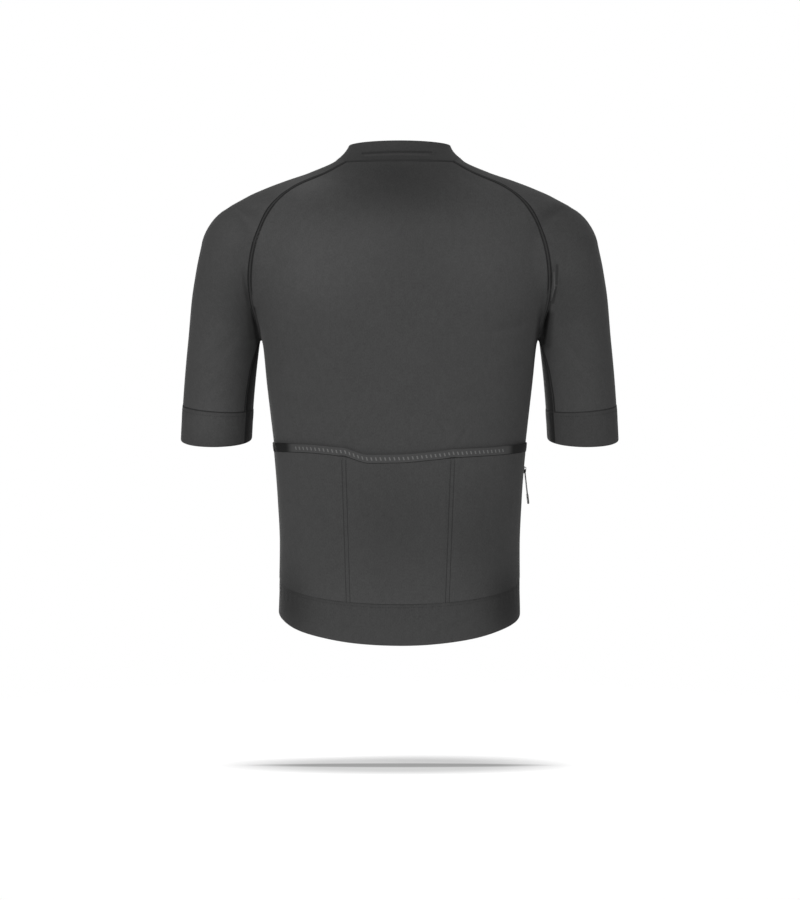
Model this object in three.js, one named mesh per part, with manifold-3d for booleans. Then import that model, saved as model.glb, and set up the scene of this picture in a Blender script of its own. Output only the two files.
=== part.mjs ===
// A short-sleeved cycling jersey with raglan sleeves, filled out as if worn, in millimetres.
// +Z is up, the chest faces -Y, and the origin is the middle of the neck opening at shoulder height.
import * as THREE from "three";
import { mergeVertices } from "three/addons/utils/BufferGeometryUtils.js";
import Module from "manifold-3d";

const wasm = await Module();
wasm.setup();

// Cloth and seams
const panelCloth = 1.2;
const foldedCloth = 1.8;
const collarCloth = 2;
const seamGap = 0.36;
const layerGap = 0.35;
const foldedProud = 0.5;

// How finely each piece is divided
const raglanRows = 13;
const sideRows = 6;
const pocketRows = 6;
const backHalfColumns = 13;
const frontColumns = 9;
const sleeveColumns = 20;
const lowerSleeveRows = 6;
const collarRows = 3;
const bandRows = 2;
const rowSpread = 1.3;

// The general figure that fills the jersey: level sections of the trunk from the neck to the hips
const trunk = [
  { z: 40, halfWidth: 60, front: 46, back: 50, square: 2 },
  { z: 0, halfWidth: 84.4, front: 52, back: 67, square: 2 },
  { z: -18, halfWidth: 122, front: 55, back: 74, square: 2 },
  { z: -29, halfWidth: 154.5, front: 58, back: 78, square: 2 },
  { z: -40, halfWidth: 183.2, front: 62, back: 82, square: 2 },
  { z: -52, halfWidth: 208.7, front: 67, back: 87, square: 2.2 },
  { z: -66, halfWidth: 228, front: 73, back: 91, square: 2.35 },
  { z: -84, halfWidth: 218, front: 81, back: 96, square: 2.35 },
  { z: -105, halfWidth: 212, front: 90, back: 102, square: 2.25 },
  { z: -150, halfWidth: 208, front: 105, back: 110, square: 2.15 },
  { z: -185, halfWidth: 204, front: 112, back: 114, square: 2.2 },
  { z: -215, halfWidth: 192.5, front: 115, back: 115, square: 2.25 },
  { z: -246, halfWidth: 185.8, front: 116, back: 115, square: 2.3 },
  { z: -300, halfWidth: 180.2, front: 113, back: 112, square: 2.3 },
  { z: -345, halfWidth: 174.9, front: 109, back: 108, square: 2.25 },
  { z: -400, halfWidth: 168.9, front: 105, back: 104, square: 2.2 },
  { z: -460, halfWidth: 164, front: 103, back: 103, square: 2.1 },
  { z: -520, halfWidth: 161.4, front: 103, back: 105, square: 2 },
  { z: -580, halfWidth: 162, front: 104, back: 109, square: 2 },
  { z: -615, halfWidth: 162.8, front: 104, back: 111, square: 2 },
  { z: -660, halfWidth: 159, front: 104, back: 112, square: 2 },
];

// Level sections of an arm, and the shoulder cap that rounds its top
const arm = [
  { z: -114, x: 217.3, y: 0, halfWidth: 50.7, halfDepth: 64.5 },
  { z: -150, x: 222.2, y: -2, halfWidth: 53.3, halfDepth: 64 },
  { z: -190, x: 231.4, y: -5, halfWidth: 50.5, halfDepth: 61 },
  { z: -245, x: 238.5, y: -10, halfWidth: 48.6, halfDepth: 57 },
  { z: -340, x: 247.9, y: -21, halfWidth: 48.2, halfDepth: 53 },
  { z: -395, x: 251.3, y: -28, halfWidth: 48.2, halfDepth: 52 },
];
const shoulder = { rise: 52, slant: 1.41 };

// How softly arm and trunk run into each other at each height
const fillet = [
  { z: -58, radius: 5 },
  { z: -90, radius: 13 },
  { z: -110, radius: 20 },
  { z: -150, radius: 32 },
  { z: -200, radius: 14 },
  { z: -240, radius: 8 },
  { z: -252, radius: 6.4 },
  { z: -275, radius: 2 },
];

// Raglan seams seen square on, from the neck towards the armpit
const backRaglan = [
  { x: 71.6, z: -6.9 },
  { x: 98, z: -21.5 },
  { x: 139, z: -39.7 },
  { x: 163.6, z: -60 },
  { x: 181.5, z: -85 },
  { x: 194.8, z: -122 },
  { x: 200, z: -165 },
  { x: 197.5, z: -196.5 },
  { x: 191.8, z: -220 },
];
const frontRaglan = [
  { x: 66, z: -24 },
  { x: 84, z: -40 },
  { x: 108, z: -56 },
  { x: 132, z: -78 },
  { x: 150, z: -102 },
  { x: 164, z: -130 },
  { x: 177, z: -162 },
  { x: 185, z: -192 },
  { x: 188, z: -218 },
];
const sideSeamY = -6;
const armpitSpread = 1.5;
const armpitSearch = { fromX: 180, toX: 196, stepX: 0.25, openZ: -290, shutZ: -225 };
const frontNeckDrop = -62;
const neckSideAngle = 82;
const sleeveFanTop = { x: 78, y: 0, z: -45 };
const fanDepth = 0.75;

// Collar: its top edge in plan and its height all round
const collarTop = { halfWidth: 69, back: 57, front: 56 };
const collarTopZ = { side: 18.5, tilt: 1, backRise: 0.5, frontFall: 41.5 };
const collarLean = { inward: 0.75, upward: 0.45 };

// Hem band and cuffs lie on sloping planes
const hemSeam = { z: -559.5, slope: -0.3 };
const hemEdge = { z: -611, slope: -0.31 };
const cuffSeam = { z: -335.4, across: 0.07, slope: -0.12 };
const cuffEdge = { z: -376.6, across: 0, slope: -0.22 };
const cuffCentre = { x: 245, y: -25 };
const underarmTurn = 38;
const underarmBend = 3;

// The elastic along the pocket mouths, as its middle line across the back
const pocketMouth = [
  { x: 175, z: -388 },
  { x: 131, z: -388.5 },
  { x: 73, z: -393.5 },
  { x: 40, z: -402 },
  { x: 0, z: -401.5 },
  { x: -42, z: -398 },
  { x: -73, z: -395 },
  { x: -130, z: -392 },
  { x: -175, z: -388 },
];
const elastic = { height: 12, thickness: 2 };

// Zips: the front one is a strip between the front edges, the side one lies on the front beside the side seam
const frontEdgeX = 5;
const frontZip = { halfWidth: 4.65, thickness: 1.2, proud: 0.3 };
const sideZip = { top: -412, bottom: -540, rows: 6, nearSeam: 3.5, width: 9 };

// Sliders: a body on the zip, an arch over it, and a pull whose ring is held under the arch
const slider = { clearance: 0.6, thickness: 1.6, halfLength: 5, halfWidth: 4 };
const sliderOutline = { nose: 3, shoulderUp: 3, waistUp: -1 };
const arch = { halfLength: 4, halfWidth: 1, leg: 1, tunnel: 2, top: 1, chamfer: 1, sunk: 0.4 };
const ring = { bar: 1.1, hole: 4.6, halfHole: 1.7, gripProud: 0.4 };
const frontPull = { length: 28, width: 5.5, thickness: 1.1, grip: 10, gripThickness: 2.2, lean: 8 };
const sidePull = { length: 47, width: 5, thickness: 1.1, grip: 13, gripThickness: 2, lean: 12 };
const frontSliderUp = 0.78;
const sideSliderZ = -421;

// How closely points are worked out
const stride = 3;
const farthest = 500;
const halvings = 24;
const settleRounds = 4;
const nearAxis = 0.01;
const slopeStep = 0.4;
const weldWithin = 1e-4;

const radians = THREE.MathUtils.degToRad;
const { lerp } = THREE.MathUtils;
const vector = (x, y, z) => new THREE.Vector3(x, y, z);

// Joins a table's values by a smooth curve that never overshoots them
function smoothColumn(knots, values) {
  const rises = knots.slice(1).map((knot, i) => (values[i + 1] - values[i]) / (knot - knots[i]));
  const slopes = values.map((_, i) => {
    const before = rises[Math.max(i - 1, 0)];
    const after = rises[Math.min(i, rises.length - 1)];
    return before * after <= 0 ? 0 : (2 * before * after) / (before + after);
  });
  return (at) => {
    if (at >= knots[0]) return values[0];
    const i = knots.findIndex((knot) => at >= knot) - 1;
    if (i < 0) return values.at(-1);
    const step = knots[i + 1] - knots[i];
    const t = (at - knots[i]) / step;
    const fromStart = (1 + 2 * t) * values[i] + t * step * slopes[i];
    const fromEnd = (3 - 2 * t) * values[i + 1] + (t - 1) * step * slopes[i + 1];
    return (1 - t) ** 2 * fromStart + t ** 2 * fromEnd;
  };
}

// Reads every column of a table whose rows run from high to low in the key column
function tableReader(rows, key = "z") {
  const knots = rows.map((row) => row[key]);
  const names = Object.keys(rows[0]).filter((name) => name !== key);
  const columns = names.map((name) => smoothColumn(knots, rows.map((row) => row[name])));
  return (at) => Object.fromEntries(names.map((name, i) => [name, columns[i](at)]));
}

const trunkAt = tableReader(trunk);
const armAt = tableReader(arm);
const filletAt = tableReader(fillet);
const mouthAt = tableReader(pocketMouth, "x");

function trunkDistance(x, y, z) {
  const { halfWidth, front, back, square } = trunkAt(z);
  const depth = y > 0 ? back : front;
  const level = ((Math.abs(x) / halfWidth) ** square + (Math.abs(y) / depth) ** square) ** (1 / square);
  return Math.hypot(x, y) * (1 - 1 / Math.max(level, nearAxis));
}

function armDistance(x, y, z) {
  const section = armAt(z);
  const across = Math.abs(x) - section.x;
  const deep = y - section.y;
  const above = Math.max(z - arm[0].z, 0);
  const around = Math.hypot(across / section.halfWidth, deep / section.halfDepth);
  const level = Math.sqrt(around ** 2 + (above / shoulder.rise) ** shoulder.slant);
  return Math.hypot(across, deep, above) * (1 - 1 / Math.max(level, nearAxis));
}

// Below zero inside the figure: trunk and arms with a soft fillet between them
function figure(x, y, z) {
  const body = trunkDistance(x, y, z);
  const limb = armDistance(x, y, z);
  const { radius } = filletAt(z);
  const overlap = Math.max(radius - Math.abs(body - limb), 0) / radius;
  return Math.min(body, limb) - (overlap * overlap * radius) / 4;
}

function outwardNormal({ x, y, z }) {
  return vector(
    figure(x + slopeStep, y, z) - figure(x - slopeStep, y, z),
    figure(x, y + slopeStep, z) - figure(x, y - slopeStep, z),
    figure(x, y, z + slopeStep) - figure(x, y, z - slopeStep),
  ).normalize();
}

// The first point where a ray from inside the figure leaves it, with the outward normal there
function leaveFigure(origin, direction) {
  const outside = (reach) => {
    const at = direction.clone().multiplyScalar(reach).add(origin);
    return figure(at.x, at.y, at.z) > 0;
  };
  let far = stride;
  while (!outside(far) && far < farthest) far += stride;
  let near = far - stride;
  for (let halving = 0; halving < halvings; halving += 1) {
    const middle = (near + far) / 2;
    if (outside(middle)) far = middle;
    else near = middle;
  }
  const point = direction.clone().normalize().multiplyScalar(near).add(origin);
  return { point, normal: outwardNormal(point) };
}

const mirrored = ({ point, normal }) => ({
  point: point.clone().setX(-point.x),
  normal: normal.clone().setX(-normal.x),
});

// The armpit is the top of the slot between sleeve and side
function findArmpit() {
  const { fromX, toX, stepX, openZ, shutZ } = armpitSearch;
  const slotAt = (z) => {
    let best = { x: 0, gap: -Infinity };
    for (let x = fromX; x < toX; x += stepX) {
      const gap = figure(x, sideSeamY, z);
      if (gap > best.gap) best = { x, gap };
    }
    return best;
  };
  let open = openZ;
  let shut = shutZ;
  for (let halving = 0; halving < halvings; halving += 1) {
    const middle = (open + shut) / 2;
    if (slotAt(middle).gap > 0) open = middle;
    else shut = middle;
  }
  return vector(slotAt(open).x, sideSeamY, shut);
}

const armpit = findArmpit();
const armpitNode = { point: armpit, normal: vector(0, 0, -1) };

// Lays a seam drawn square on onto the front (-1) or back (1) of the figure, closer together near the armpit
function raglanSeam(rows, side) {
  const drawn = rows.map(({ x, z }) => vector(x, 0, z));
  const path = new THREE.CatmullRomCurve3([...drawn, vector(armpit.x, 0, armpit.z)], false, "centripetal");
  const nodes = [];
  for (let row = 0; row < raglanRows; row += 1) {
    const along = 1 - (1 - row / raglanRows) ** armpitSpread;
    const { x, z } = path.getPointAt(along);
    nodes.push(leaveFigure(vector(x, sideSeamY, z), vector(0, side, 0)));
  }
  return [...nodes, armpitNode];
}

const backSeam = raglanSeam(backRaglan, 1);
const frontSeam = raglanSeam(frontRaglan, -1);
const hemRow = raglanRows + sideRows + 1 + pocketRows;
const mouthRow = raglanRows + sideRows;

const onSlope = ({ z, slope }, y) => z + slope * y;

// Height of a row of the back panel, worked out again from the point that it gives
function backHeight(row, { x, y }) {
  if (row <= raglanRows) return backSeam[row].point.z;
  const mouth = mouthAt(x).z;
  if (row <= mouthRow) {
    const down = ((row - raglanRows) / sideRows) ** rowSpread;
    return lerp(armpit.z, mouth + elastic.height / 2, down);
  }
  const down = (row - mouthRow - 1) / pocketRows;
  return lerp(mouth - elastic.height / 2, onSlope(hemSeam, y), down);
}

// Finds a point whose height depends on where it lies, by trying the height found last
function settle(start, castAt, heightAt) {
  let node = castAt(start);
  for (let round = 0; round < settleRounds; round += 1) node = castAt(heightAt(node.point));
  return node;
}

const sideSeam = [];
for (let row = 0; row <= hemRow; row += 1) {
  const cast = (z) => leaveFigure(vector(0, sideSeamY, z), vector(1, 0, 0));
  const lower = () => settle(armpit.z, cast, (point) => backHeight(row, point));
  sideSeam.push(row <= raglanRows ? backSeam[row] : lower());
}

// A row of a panel from its middle (share 0) to its seam (share 1), by rays that fan out from inside
function fanNode(edge, share, middleX, side, heightAt) {
  if (share === 1) return edge;
  const cast = (z) => {
    const section = trunkAt(z);
    const fanY = -side * fanDepth * (side > 0 ? section.front : section.back);
    const edgeAngle = Math.atan2(side * (edge.point.y - fanY), edge.point.x - middleX);
    const angle = lerp(Math.PI / 2, edgeAngle, share);
    return leaveFigure(vector(middleX, fanY, z), vector(Math.cos(angle), side * Math.sin(angle), 0));
  };
  return settle(edge.point.z, cast, heightAt);
}

const backGrid = sideSeam.map((edge, row) => {
  const nodes = [];
  for (let column = -backHalfColumns; column <= backHalfColumns; column += 1) {
    const share = Math.abs(column) / backHalfColumns;
    const flip = Math.sign(column) || 1;
    const node = fanNode(edge, share, 0, 1, ({ x, y }) => backHeight(row, { x: flip * x, y }));
    nodes.push(column < 0 ? mirrored(node) : node);
  }
  return nodes;
});

// Front rows dip towards the middle: with the neckline at the top, and with the hem at the bottom
function frontHeight(row, share, { y }) {
  const edgeZ = sideOfFront[row].point.z;
  if (row <= raglanRows) {
    const neckZ = frontSeam[0].point.z;
    const fall = (edgeZ - neckZ) / (armpit.z - neckZ);
    return lerp(lerp(frontNeckDrop, armpit.z, fall), edgeZ, share ** 2);
  }
  const bottomZ = sideOfFront[hemRow].point.z;
  const fall = (armpit.z - edgeZ) / (armpit.z - bottomZ);
  return edgeZ + (onSlope(hemSeam, y) - onSlope(hemSeam, sideSeamY)) * fall;
}

const sideOfFront = [...frontSeam, ...sideSeam.slice(raglanRows + 1)];
const leftFrontGrid = sideOfFront.map((edge, row) => {
  const nodes = [];
  for (let column = 0; column <= frontColumns; column += 1) {
    const share = column / frontColumns;
    nodes.push(fanNode(edge, share, frontEdgeX, -1, (point) => frontHeight(row, share, point)));
  }
  return nodes;
});

// Sleeve rows above the armpit run from the back seam over the shoulder to the front seam
function shoulderRow(row) {
  const along = 1 - (1 - row / raglanRows) ** armpitSpread;
  const armAxis = armAt(armpit.z);
  const centre = vector(
    lerp(sleeveFanTop.x, armAxis.x, along),
    lerp(sleeveFanTop.y, sideSeamY, along),
    lerp(sleeveFanTop.z, armpit.z, along),
  );
  const crest = radians(neckSideAngle * (1 - along));
  const ahead = vector(Math.cos(crest), 0, Math.sin(crest));
  const sweep = (seam, side) => {
    const toSeam = seam.point.clone().sub(centre);
    const turn = ahead.angleTo(toSeam);
    const across = toSeam.addScaledVector(ahead, -toSeam.dot(ahead));
    return { turn, across: row === raglanRows ? vector(0, side, 0) : across.normalize() };
  };
  const back = sweep(backSeam[row], 1);
  const front = sweep(frontSeam[row], -1);
  const nodes = [];
  for (let column = 0; column <= sleeveColumns; column += 1) {
    const turn = lerp(back.turn, -front.turn, column / sleeveColumns);
    const { across } = turn > 0 ? back : front;
    const direction = ahead.clone().multiplyScalar(Math.cos(turn));
    direction.addScaledVector(across, Math.sin(Math.abs(turn)));
    nodes.push(leaveFigure(centre, direction));
  }
  nodes[0] = backSeam[row];
  nodes[sleeveColumns] = frontSeam[row];
  return nodes;
}

const onCuffPlane = (plane, { x, y }) => {
  const across = plane.across * (x - cuffCentre.x);
  return plane.z + across + plane.slope * (y - cuffCentre.y);
};

// A ring of the arm that starts at the underarm seam and runs round by the back
function armRing(turnDown, heightAt) {
  const seamAngle = 180 - underarmTurn * (1 - (1 - turnDown) ** underarmBend);
  const nodes = [];
  for (let column = 0; column < sleeveColumns; column += 1) {
    const angle = radians(seamAngle - (360 * column) / sleeveColumns);
    const cast = (z) => {
      const { x, y } = armAt(z);
      return leaveFigure(vector(x, y, z), vector(Math.cos(angle), Math.sin(angle), 0));
    };
    nodes.push(settle(arm.at(-2).z, cast, heightAt));
  }
  return [...nodes, nodes[0]];
}

const leftSleeveGrid = backSeam.map((_, row) => shoulderRow(row));
for (let row = 1; row <= lowerSleeveRows; row += 1) {
  const down = (row / lowerSleeveRows) ** rowSpread;
  leftSleeveGrid.push(armRing(down, (point) => lerp(armpit.z, onCuffPlane(cuffSeam, point), down)));
}

const cuffGrid = [leftSleeveGrid.at(-1)];
for (let row = 1; row <= bandRows; row += 1) {
  const down = row / bandRows;
  const heightAt = (point) => lerp(onCuffPlane(cuffSeam, point), onCuffPlane(cuffEdge, point), down);
  cuffGrid.push(armRing(1, heightAt));
}

// Hem band: the bottom rows of fronts and back carried down to the edge
const hemTop = [
  ...leftFrontGrid[hemRow],
  ...backGrid[hemRow].slice(0, -1).reverse(),
  ...leftFrontGrid[hemRow].slice(0, -1).reverse().map(mirrored),
];

const atFrontEdge = ({ x, y }) => y < 0 && Math.abs(x) < frontEdgeX + 1;

function hemNode({ point }, down) {
  const nearFront = atFrontEdge(point);
  const start = nearFront ? vector(point.x, 0, 0) : vector(0, 0, 0);
  const direction = nearFront ? vector(0, -1, 0) : vector(point.x, point.y, 0);
  const cast = (z) => leaveFigure(start.clone().setZ(z), direction.clone().normalize());
  return settle(point.z, cast, ({ y }) => lerp(onSlope(hemSeam, y), onSlope(hemEdge, y), down));
}

const hemGrid = [hemTop];
for (let row = 1; row <= bandRows; row += 1) {
  hemGrid.push(hemTop.map((node) => hemNode(node, row / bandRows)));
}

// Collar: the neck edge of every piece in turn, leaning in to the top edge
const halfNeck = [
  ...leftFrontGrid[0],
  ...leftSleeveGrid[0].filter((_, column) => column % 2 === 0).slice(0, -1).reverse(),
];
const neckEdge = [
  ...halfNeck,
  ...backGrid[0].slice(1, -1).reverse(),
  ...halfNeck.map(mirrored).reverse(),
];

function collarTopPoint(foot) {
  const { x, y } = foot;
  const angle = Math.atan2(y, x);
  const rise = Math.sin(angle);
  const bend = rise > 0 ? collarTopZ.backRise : -collarTopZ.frontFall;
  const z = collarTopZ.side + collarTopZ.tilt * rise + bend * rise * rise;
  const depth = y > 0 ? collarTop.back : collarTop.front;
  return vector(atFrontEdge(foot) ? x : collarTop.halfWidth * Math.cos(angle), depth * rise, z);
}

function collarPoint(foot, up) {
  const top = collarTopPoint(foot);
  const halfway = 2 * up * (1 - up);
  const inward = halfway * collarLean.inward + up * up;
  const upward = halfway * collarLean.upward + up * up;
  return vector(lerp(foot.x, top.x, inward), lerp(foot.y, top.y, inward), lerp(foot.z, top.z, upward));
}

const collarPoints = [];
for (let row = collarRows; row >= 0; row -= 1) {
  collarPoints.push(neckEdge.map(({ point }) => collarPoint(point, row / collarRows)));
}

// Gives a grid of bare points the normals of the surface that they span
function withNormals(points) {
  const clamp = (index, count) => Math.min(Math.max(index, 0), count - 1);
  return points.map((rowPoints, row) => rowPoints.map((point, column) => {
    const at = (i, j) => points[clamp(i, points.length)][clamp(j, rowPoints.length)];
    const across = at(row, column + 1).clone().sub(at(row, column - 1));
    const down = at(row + 1, column).clone().sub(at(row - 1, column));
    return { point, normal: down.cross(across).normalize() };
  }));
}

const collarGrid = withNormals(collarPoints);
collarGrid[collarRows] = collarGrid[collarRows].map(({ point }, column) => {
  return { point, normal: neckEdge[column].normal };
});

// Moves a node in along the surface, away from one or two edges that meet there
const mostParallel = 0.9;

function moveIn({ point, normal }, edges) {
  const ways = edges.map(({ along, toward }) => {
    const line = along.clone().addScaledVector(normal, -along.dot(normal)).normalize();
    const way = toward.clone().addScaledVector(normal, -toward.dot(normal));
    return way.addScaledVector(line, -way.dot(line)).normalize();
  });
  const amount = seamGap / 2;
  const moved = point.clone();
  if (ways.length === 1) return { point: moved.addScaledVector(ways[0], amount), normal };
  const shared = Math.min(ways[0].dot(ways[1]), mostParallel);
  const reach = amount / (1 + shared);
  return { point: moved.addScaledVector(ways[0], reach).addScaledVector(ways[1], reach), normal };
}

// Pulls the named edges of a grid in by half a seam gap; cornerRow is where one long edge turns a corner
function pullIn(grid, { top, bottom, start, end, cornerRow = -1, turn = null }) {
  const lastRow = grid.length - 1;
  const lastColumn = grid[0].length - 1;
  const spot = (row, column) => grid[row][column].point;
  const between = (from, to) => to.clone().sub(from);
  return grid.map((nodes, row) => nodes.map((node, column) => {
    const edges = [];
    const left = spot(row, Math.max(column - 1, 0));
    const right = spot(row, Math.min(column + 1, lastColumn));
    const rowWay = between(left, right);
    if (top && row === 0) edges.push({ along: rowWay, toward: between(node.point, spot(1, column)) });
    if (bottom && row === lastRow) {
      edges.push({ along: rowWay, toward: between(node.point, spot(row - 1, column)) });
    }
    const atStart = start && column === 0;
    const atEnd = end && column === lastColumn;
    if (atStart || atEnd) {
      const toward = between(spot(row, column), atStart ? right : left);
      const above = spot(Math.max(row - 1, 0), column);
      const below = spot(Math.min(row + 1, lastRow), column);
      if (row === cornerRow) {
        edges.push({ along: turn, toward });
        edges.push({ along: between(node.point, below), toward });
      } else edges.push({ along: between(above, below), toward });
    }
    return edges.length ? moveIn(node, edges) : node;
  }));
}

const armholeTurn = frontSeam[raglanRows - 1].point.clone().sub(backSeam[raglanRows - 1].point);

// Both upper edges of a sleeve share their points with the panels; from the armpit down it is a closed tube
function pullInSleeve(grid) {
  const last = sleeveColumns;
  const open = pullIn(grid.slice(0, raglanRows + 1), { top: true, start: true, end: true });
  const foot = grid[raglanRows][0];
  const below = grid[raglanRows + 1][0].point.clone().sub(foot.point);
  const moved = moveIn(foot, [{ along: armholeTurn, toward: below }]);
  open[raglanRows][0] = moved;
  open[raglanRows][last] = moved;
  const closed = grid.slice(raglanRows + 1);
  const cuffEdgeNodes = closed.at(-1).map((node, column) => {
    const before = closed.at(-1)[(column + last - 1) % last].point;
    const after = closed.at(-1)[(column + 1) % last].point;
    const toward = closed.at(-2)[column].point.clone().sub(node.point);
    return moveIn(node, [{ along: after.clone().sub(before), toward }]);
  });
  return [...open, ...closed.slice(0, -1), cuffEdgeNodes];
}

function pullInCuff(grid) {
  const top = grid[0].map((node, column) => {
    const before = grid[0][(column + sleeveColumns - 1) % sleeveColumns].point;
    const after = grid[0][(column + 1) % sleeveColumns].point;
    const toward = grid[1][column].point.clone().sub(node.point);
    return moveIn(node, [{ along: after.clone().sub(before), toward }]);
  });
  return [top, ...grid.slice(1)];
}

// Turns a grid into a closed wall; from weldFrom down, the last column is the first one
function wall(grid, { thickness, proud = 0, weldFrom = Infinity }) {
  const columns = grid[0].length;
  const index = (row, column) => {
    const welded = row >= weldFrom && column === columns - 1;
    return row * columns + (welded ? 0 : column);
  };
  const faces = [];
  for (let row = 0; row + 1 < grid.length; row += 1) {
    for (let column = 0; column + 1 < columns; column += 1) {
      const [a, b] = [index(row, column), index(row, column + 1)];
      const [c, d] = [index(row + 1, column + 1), index(row + 1, column)];
      const firstHalf = column < (columns - 1) / 2;
      if (firstHalf) faces.push([a, b, c], [a, c, d]);
      else faces.push([b, c, d], [b, d, a]);
    }
  }
  const nodes = grid.flat();
  const outer = nodes.map(({ point, normal }) => point.clone().addScaledVector(normal, proud));
  const inner = nodes.map(({ point, normal }) => point.clone().addScaledVector(normal, proud - thickness));
  const facing = faces.reduce((sum, [a, b, c]) => {
    const side = outer[b].clone().sub(outer[a]).cross(outer[c].clone().sub(outer[a]));
    return sum + side.dot(nodes[a].normal);
  }, 0);
  const outward = facing > 0 ? faces : faces.map(([a, b, c]) => [a, c, b]);
  return closedSheet(outer, inner, outward);
}

// Outer face, inner face turned over, and a rim along every free edge
function closedSheet(outer, inner, faces) {
  const count = outer.length;
  const rims = new Map();
  for (const [a, b, c] of faces) {
    for (const [from, to] of [[a, b], [b, c], [c, a]]) {
      if (!rims.delete(`${to},${from}`)) rims.set(`${from},${to}`, [from, to]);
    }
  }
  const triangles = faces.flatMap(([a, b, c]) => [[a, b, c], [a + count, c + count, b + count]]);
  for (const [from, to] of rims.values()) {
    triangles.push([to, from, from + count], [to, from + count, to + count]);
  }
  return meshGeometry([...outer, ...inner], triangles.flat());
}

function meshGeometry(points, triangles) {
  const used = [...new Set(triangles)];
  const renumber = new Map(used.map((old, i) => [old, i]));
  const geometry = new THREE.BufferGeometry();
  const positions = new Float32Array(used.flatMap((i) => points[i].toArray()));
  geometry.setAttribute("position", new THREE.BufferAttribute(positions, 3));
  geometry.setIndex(triangles.map((i) => renumber.get(i)));
  return geometry;
}

// Finishes
const knit = { color: 0x454545, roughness: 0.85, metalness: 0 };
const darkKnit = { color: 0x3b3b3b, roughness: 0.85, metalness: 0 };
const elasticKnit = { color: 0x2c2c2c, roughness: 0.8, metalness: 0 };
const zipTape = { color: 0x222222, roughness: 0.7, metalness: 0 };
const darkMetal = { color: 0x1c1c1e, roughness: 0.35, metalness: 0.8 };
const softPull = { color: 0x4a4a4c, roughness: 0.6, metalness: 0 };

const jersey = new THREE.Group();

function addPiece(name, geometry, finish, parent = jersey) {
  const mesh = new THREE.Mesh(geometry, new THREE.MeshStandardMaterial(finish));
  mesh.name = name;
  parent.add(mesh);
  return mesh;
}

const onOtherSide = (grid) => grid.map((nodes) => nodes.map(mirrored));

function addPanels() {
  const corner = { cornerRow: raglanRows, turn: armholeTurn };
  const back = pullIn(backGrid, { top: true, bottom: true, start: true, end: true, ...corner });
  addPiece("back_panel", wall(back, { thickness: panelCloth }), knit);
  const front = pullIn(leftFrontGrid, { top: true, bottom: true, end: true, ...corner });
  addPiece("front_left", wall(front, { thickness: panelCloth }), knit);
  addPiece("front_right", wall(onOtherSide(front), { thickness: panelCloth }), knit);
}

function addSleeves() {
  const sleeve = pullInSleeve(leftSleeveGrid);
  const cuff = pullInCuff(cuffGrid);
  const sleeveWall = { thickness: panelCloth, weldFrom: raglanRows };
  const cuffWall = { thickness: foldedCloth, proud: foldedProud, weldFrom: 0 };
  addPiece("sleeve_left", wall(sleeve, sleeveWall), knit);
  addPiece("sleeve_right", wall(onOtherSide(sleeve), sleeveWall), knit);
  addPiece("cuff_left", wall(cuff, cuffWall), darkKnit);
  addPiece("cuff_right", wall(onOtherSide(cuff), cuffWall), darkKnit);
}

function addBands() {
  const hem = pullIn(hemGrid, { top: true });
  addPiece("hem_band", wall(hem, { thickness: foldedCloth, proud: foldedProud }), darkKnit);
  const collar = pullIn(collarGrid, { bottom: true });
  addPiece("collar", wall(collar, { thickness: collarCloth }), darkKnit);
}

function addPockets() {
  const sides = { start: true, end: true };
  const pocket = pullIn(backGrid.slice(mouthRow + 1), { top: true, bottom: true, ...sides });
  const lifted = { thickness: panelCloth, proud: layerGap + panelCloth };
  addPiece("pocket_panel", wall(pocket, lifted), knit);
  const band = pullIn(backGrid.slice(mouthRow, mouthRow + 2), { top: true, bottom: true, ...sides });
  const thick = { thickness: elastic.thickness, proud: layerGap + elastic.thickness };
  addPiece("pocket_band", wall(band, thick), elasticKnit);
}

// Strip of the front zip: its middle line from the collar's top to the hem's edge, at both half widths
function frontZipGrid() {
  const onFigure = (z) => leaveFigure(vector(0, 0, z), vector(0, -1, 0)).point;
  const foot = onFigure(frontNeckDrop);
  const line = [];
  for (let row = collarRows; row > 0; row -= 1) line.push(collarPoint(foot, row / collarRows));
  for (const nodes of leftFrontGrid) line.push(onFigure(nodes[0].point.z));
  for (const nodes of hemGrid.slice(1)) line.push(onFigure(nodes[0].point.z));
  const points = line.map((point) => [-1, 1].map((side) => point.clone().setX(side * frontZip.halfWidth)));
  return withNormals(points);
}

// A point of the right front at a height, measured in from the side seam along the panel
function besideSideSeam(z, inFromSeam) {
  const row = sideSeam.findIndex(({ point }, i) => i > raglanRows && point.z < z);
  const share = (z - sideSeam[row - 1].point.z) / (sideSeam[row].point.z - sideSeam[row - 1].point.z);
  const mixed = (column) => {
    const [upper, lower] = [leftFrontGrid[row - 1][column], leftFrontGrid[row][column]];
    return {
      point: upper.point.clone().lerp(lower.point, share),
      normal: upper.normal.clone().lerp(lower.normal, share),
    };
  };
  const seam = mixed(frontColumns);
  const next = mixed(frontColumns - 1);
  const inward = inFromSeam / seam.point.distanceTo(next.point);
  const point = seam.point.clone().lerp(next.point, inward);
  return mirrored({ point, normal: seam.normal.clone().lerp(next.normal, inward).normalize() });
}

function sideZipGrid() {
  const grid = [];
  for (let row = 0; row <= sideZip.rows; row += 1) {
    const z = lerp(sideZip.top, sideZip.bottom, row / sideZip.rows);
    grid.push([0, sideZip.width].map((across) => besideSideSeam(z, sideZip.nearSeam + across)));
  }
  return grid;
}

// Closed solids for joining and cutting
function toSolid(geometry) {
  const bare = new THREE.BufferGeometry();
  bare.setAttribute("position", geometry.attributes.position);
  if (geometry.index) bare.setIndex(geometry.index);
  const merged = mergeVertices(bare, weldWithin);
  const vertProperties = new Float32Array(merged.attributes.position.array);
  const triVerts = new Uint32Array(merged.index.array);
  return new wasm.Manifold(new wasm.Mesh({ numProp: 3, vertProperties, triVerts }));
}

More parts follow.
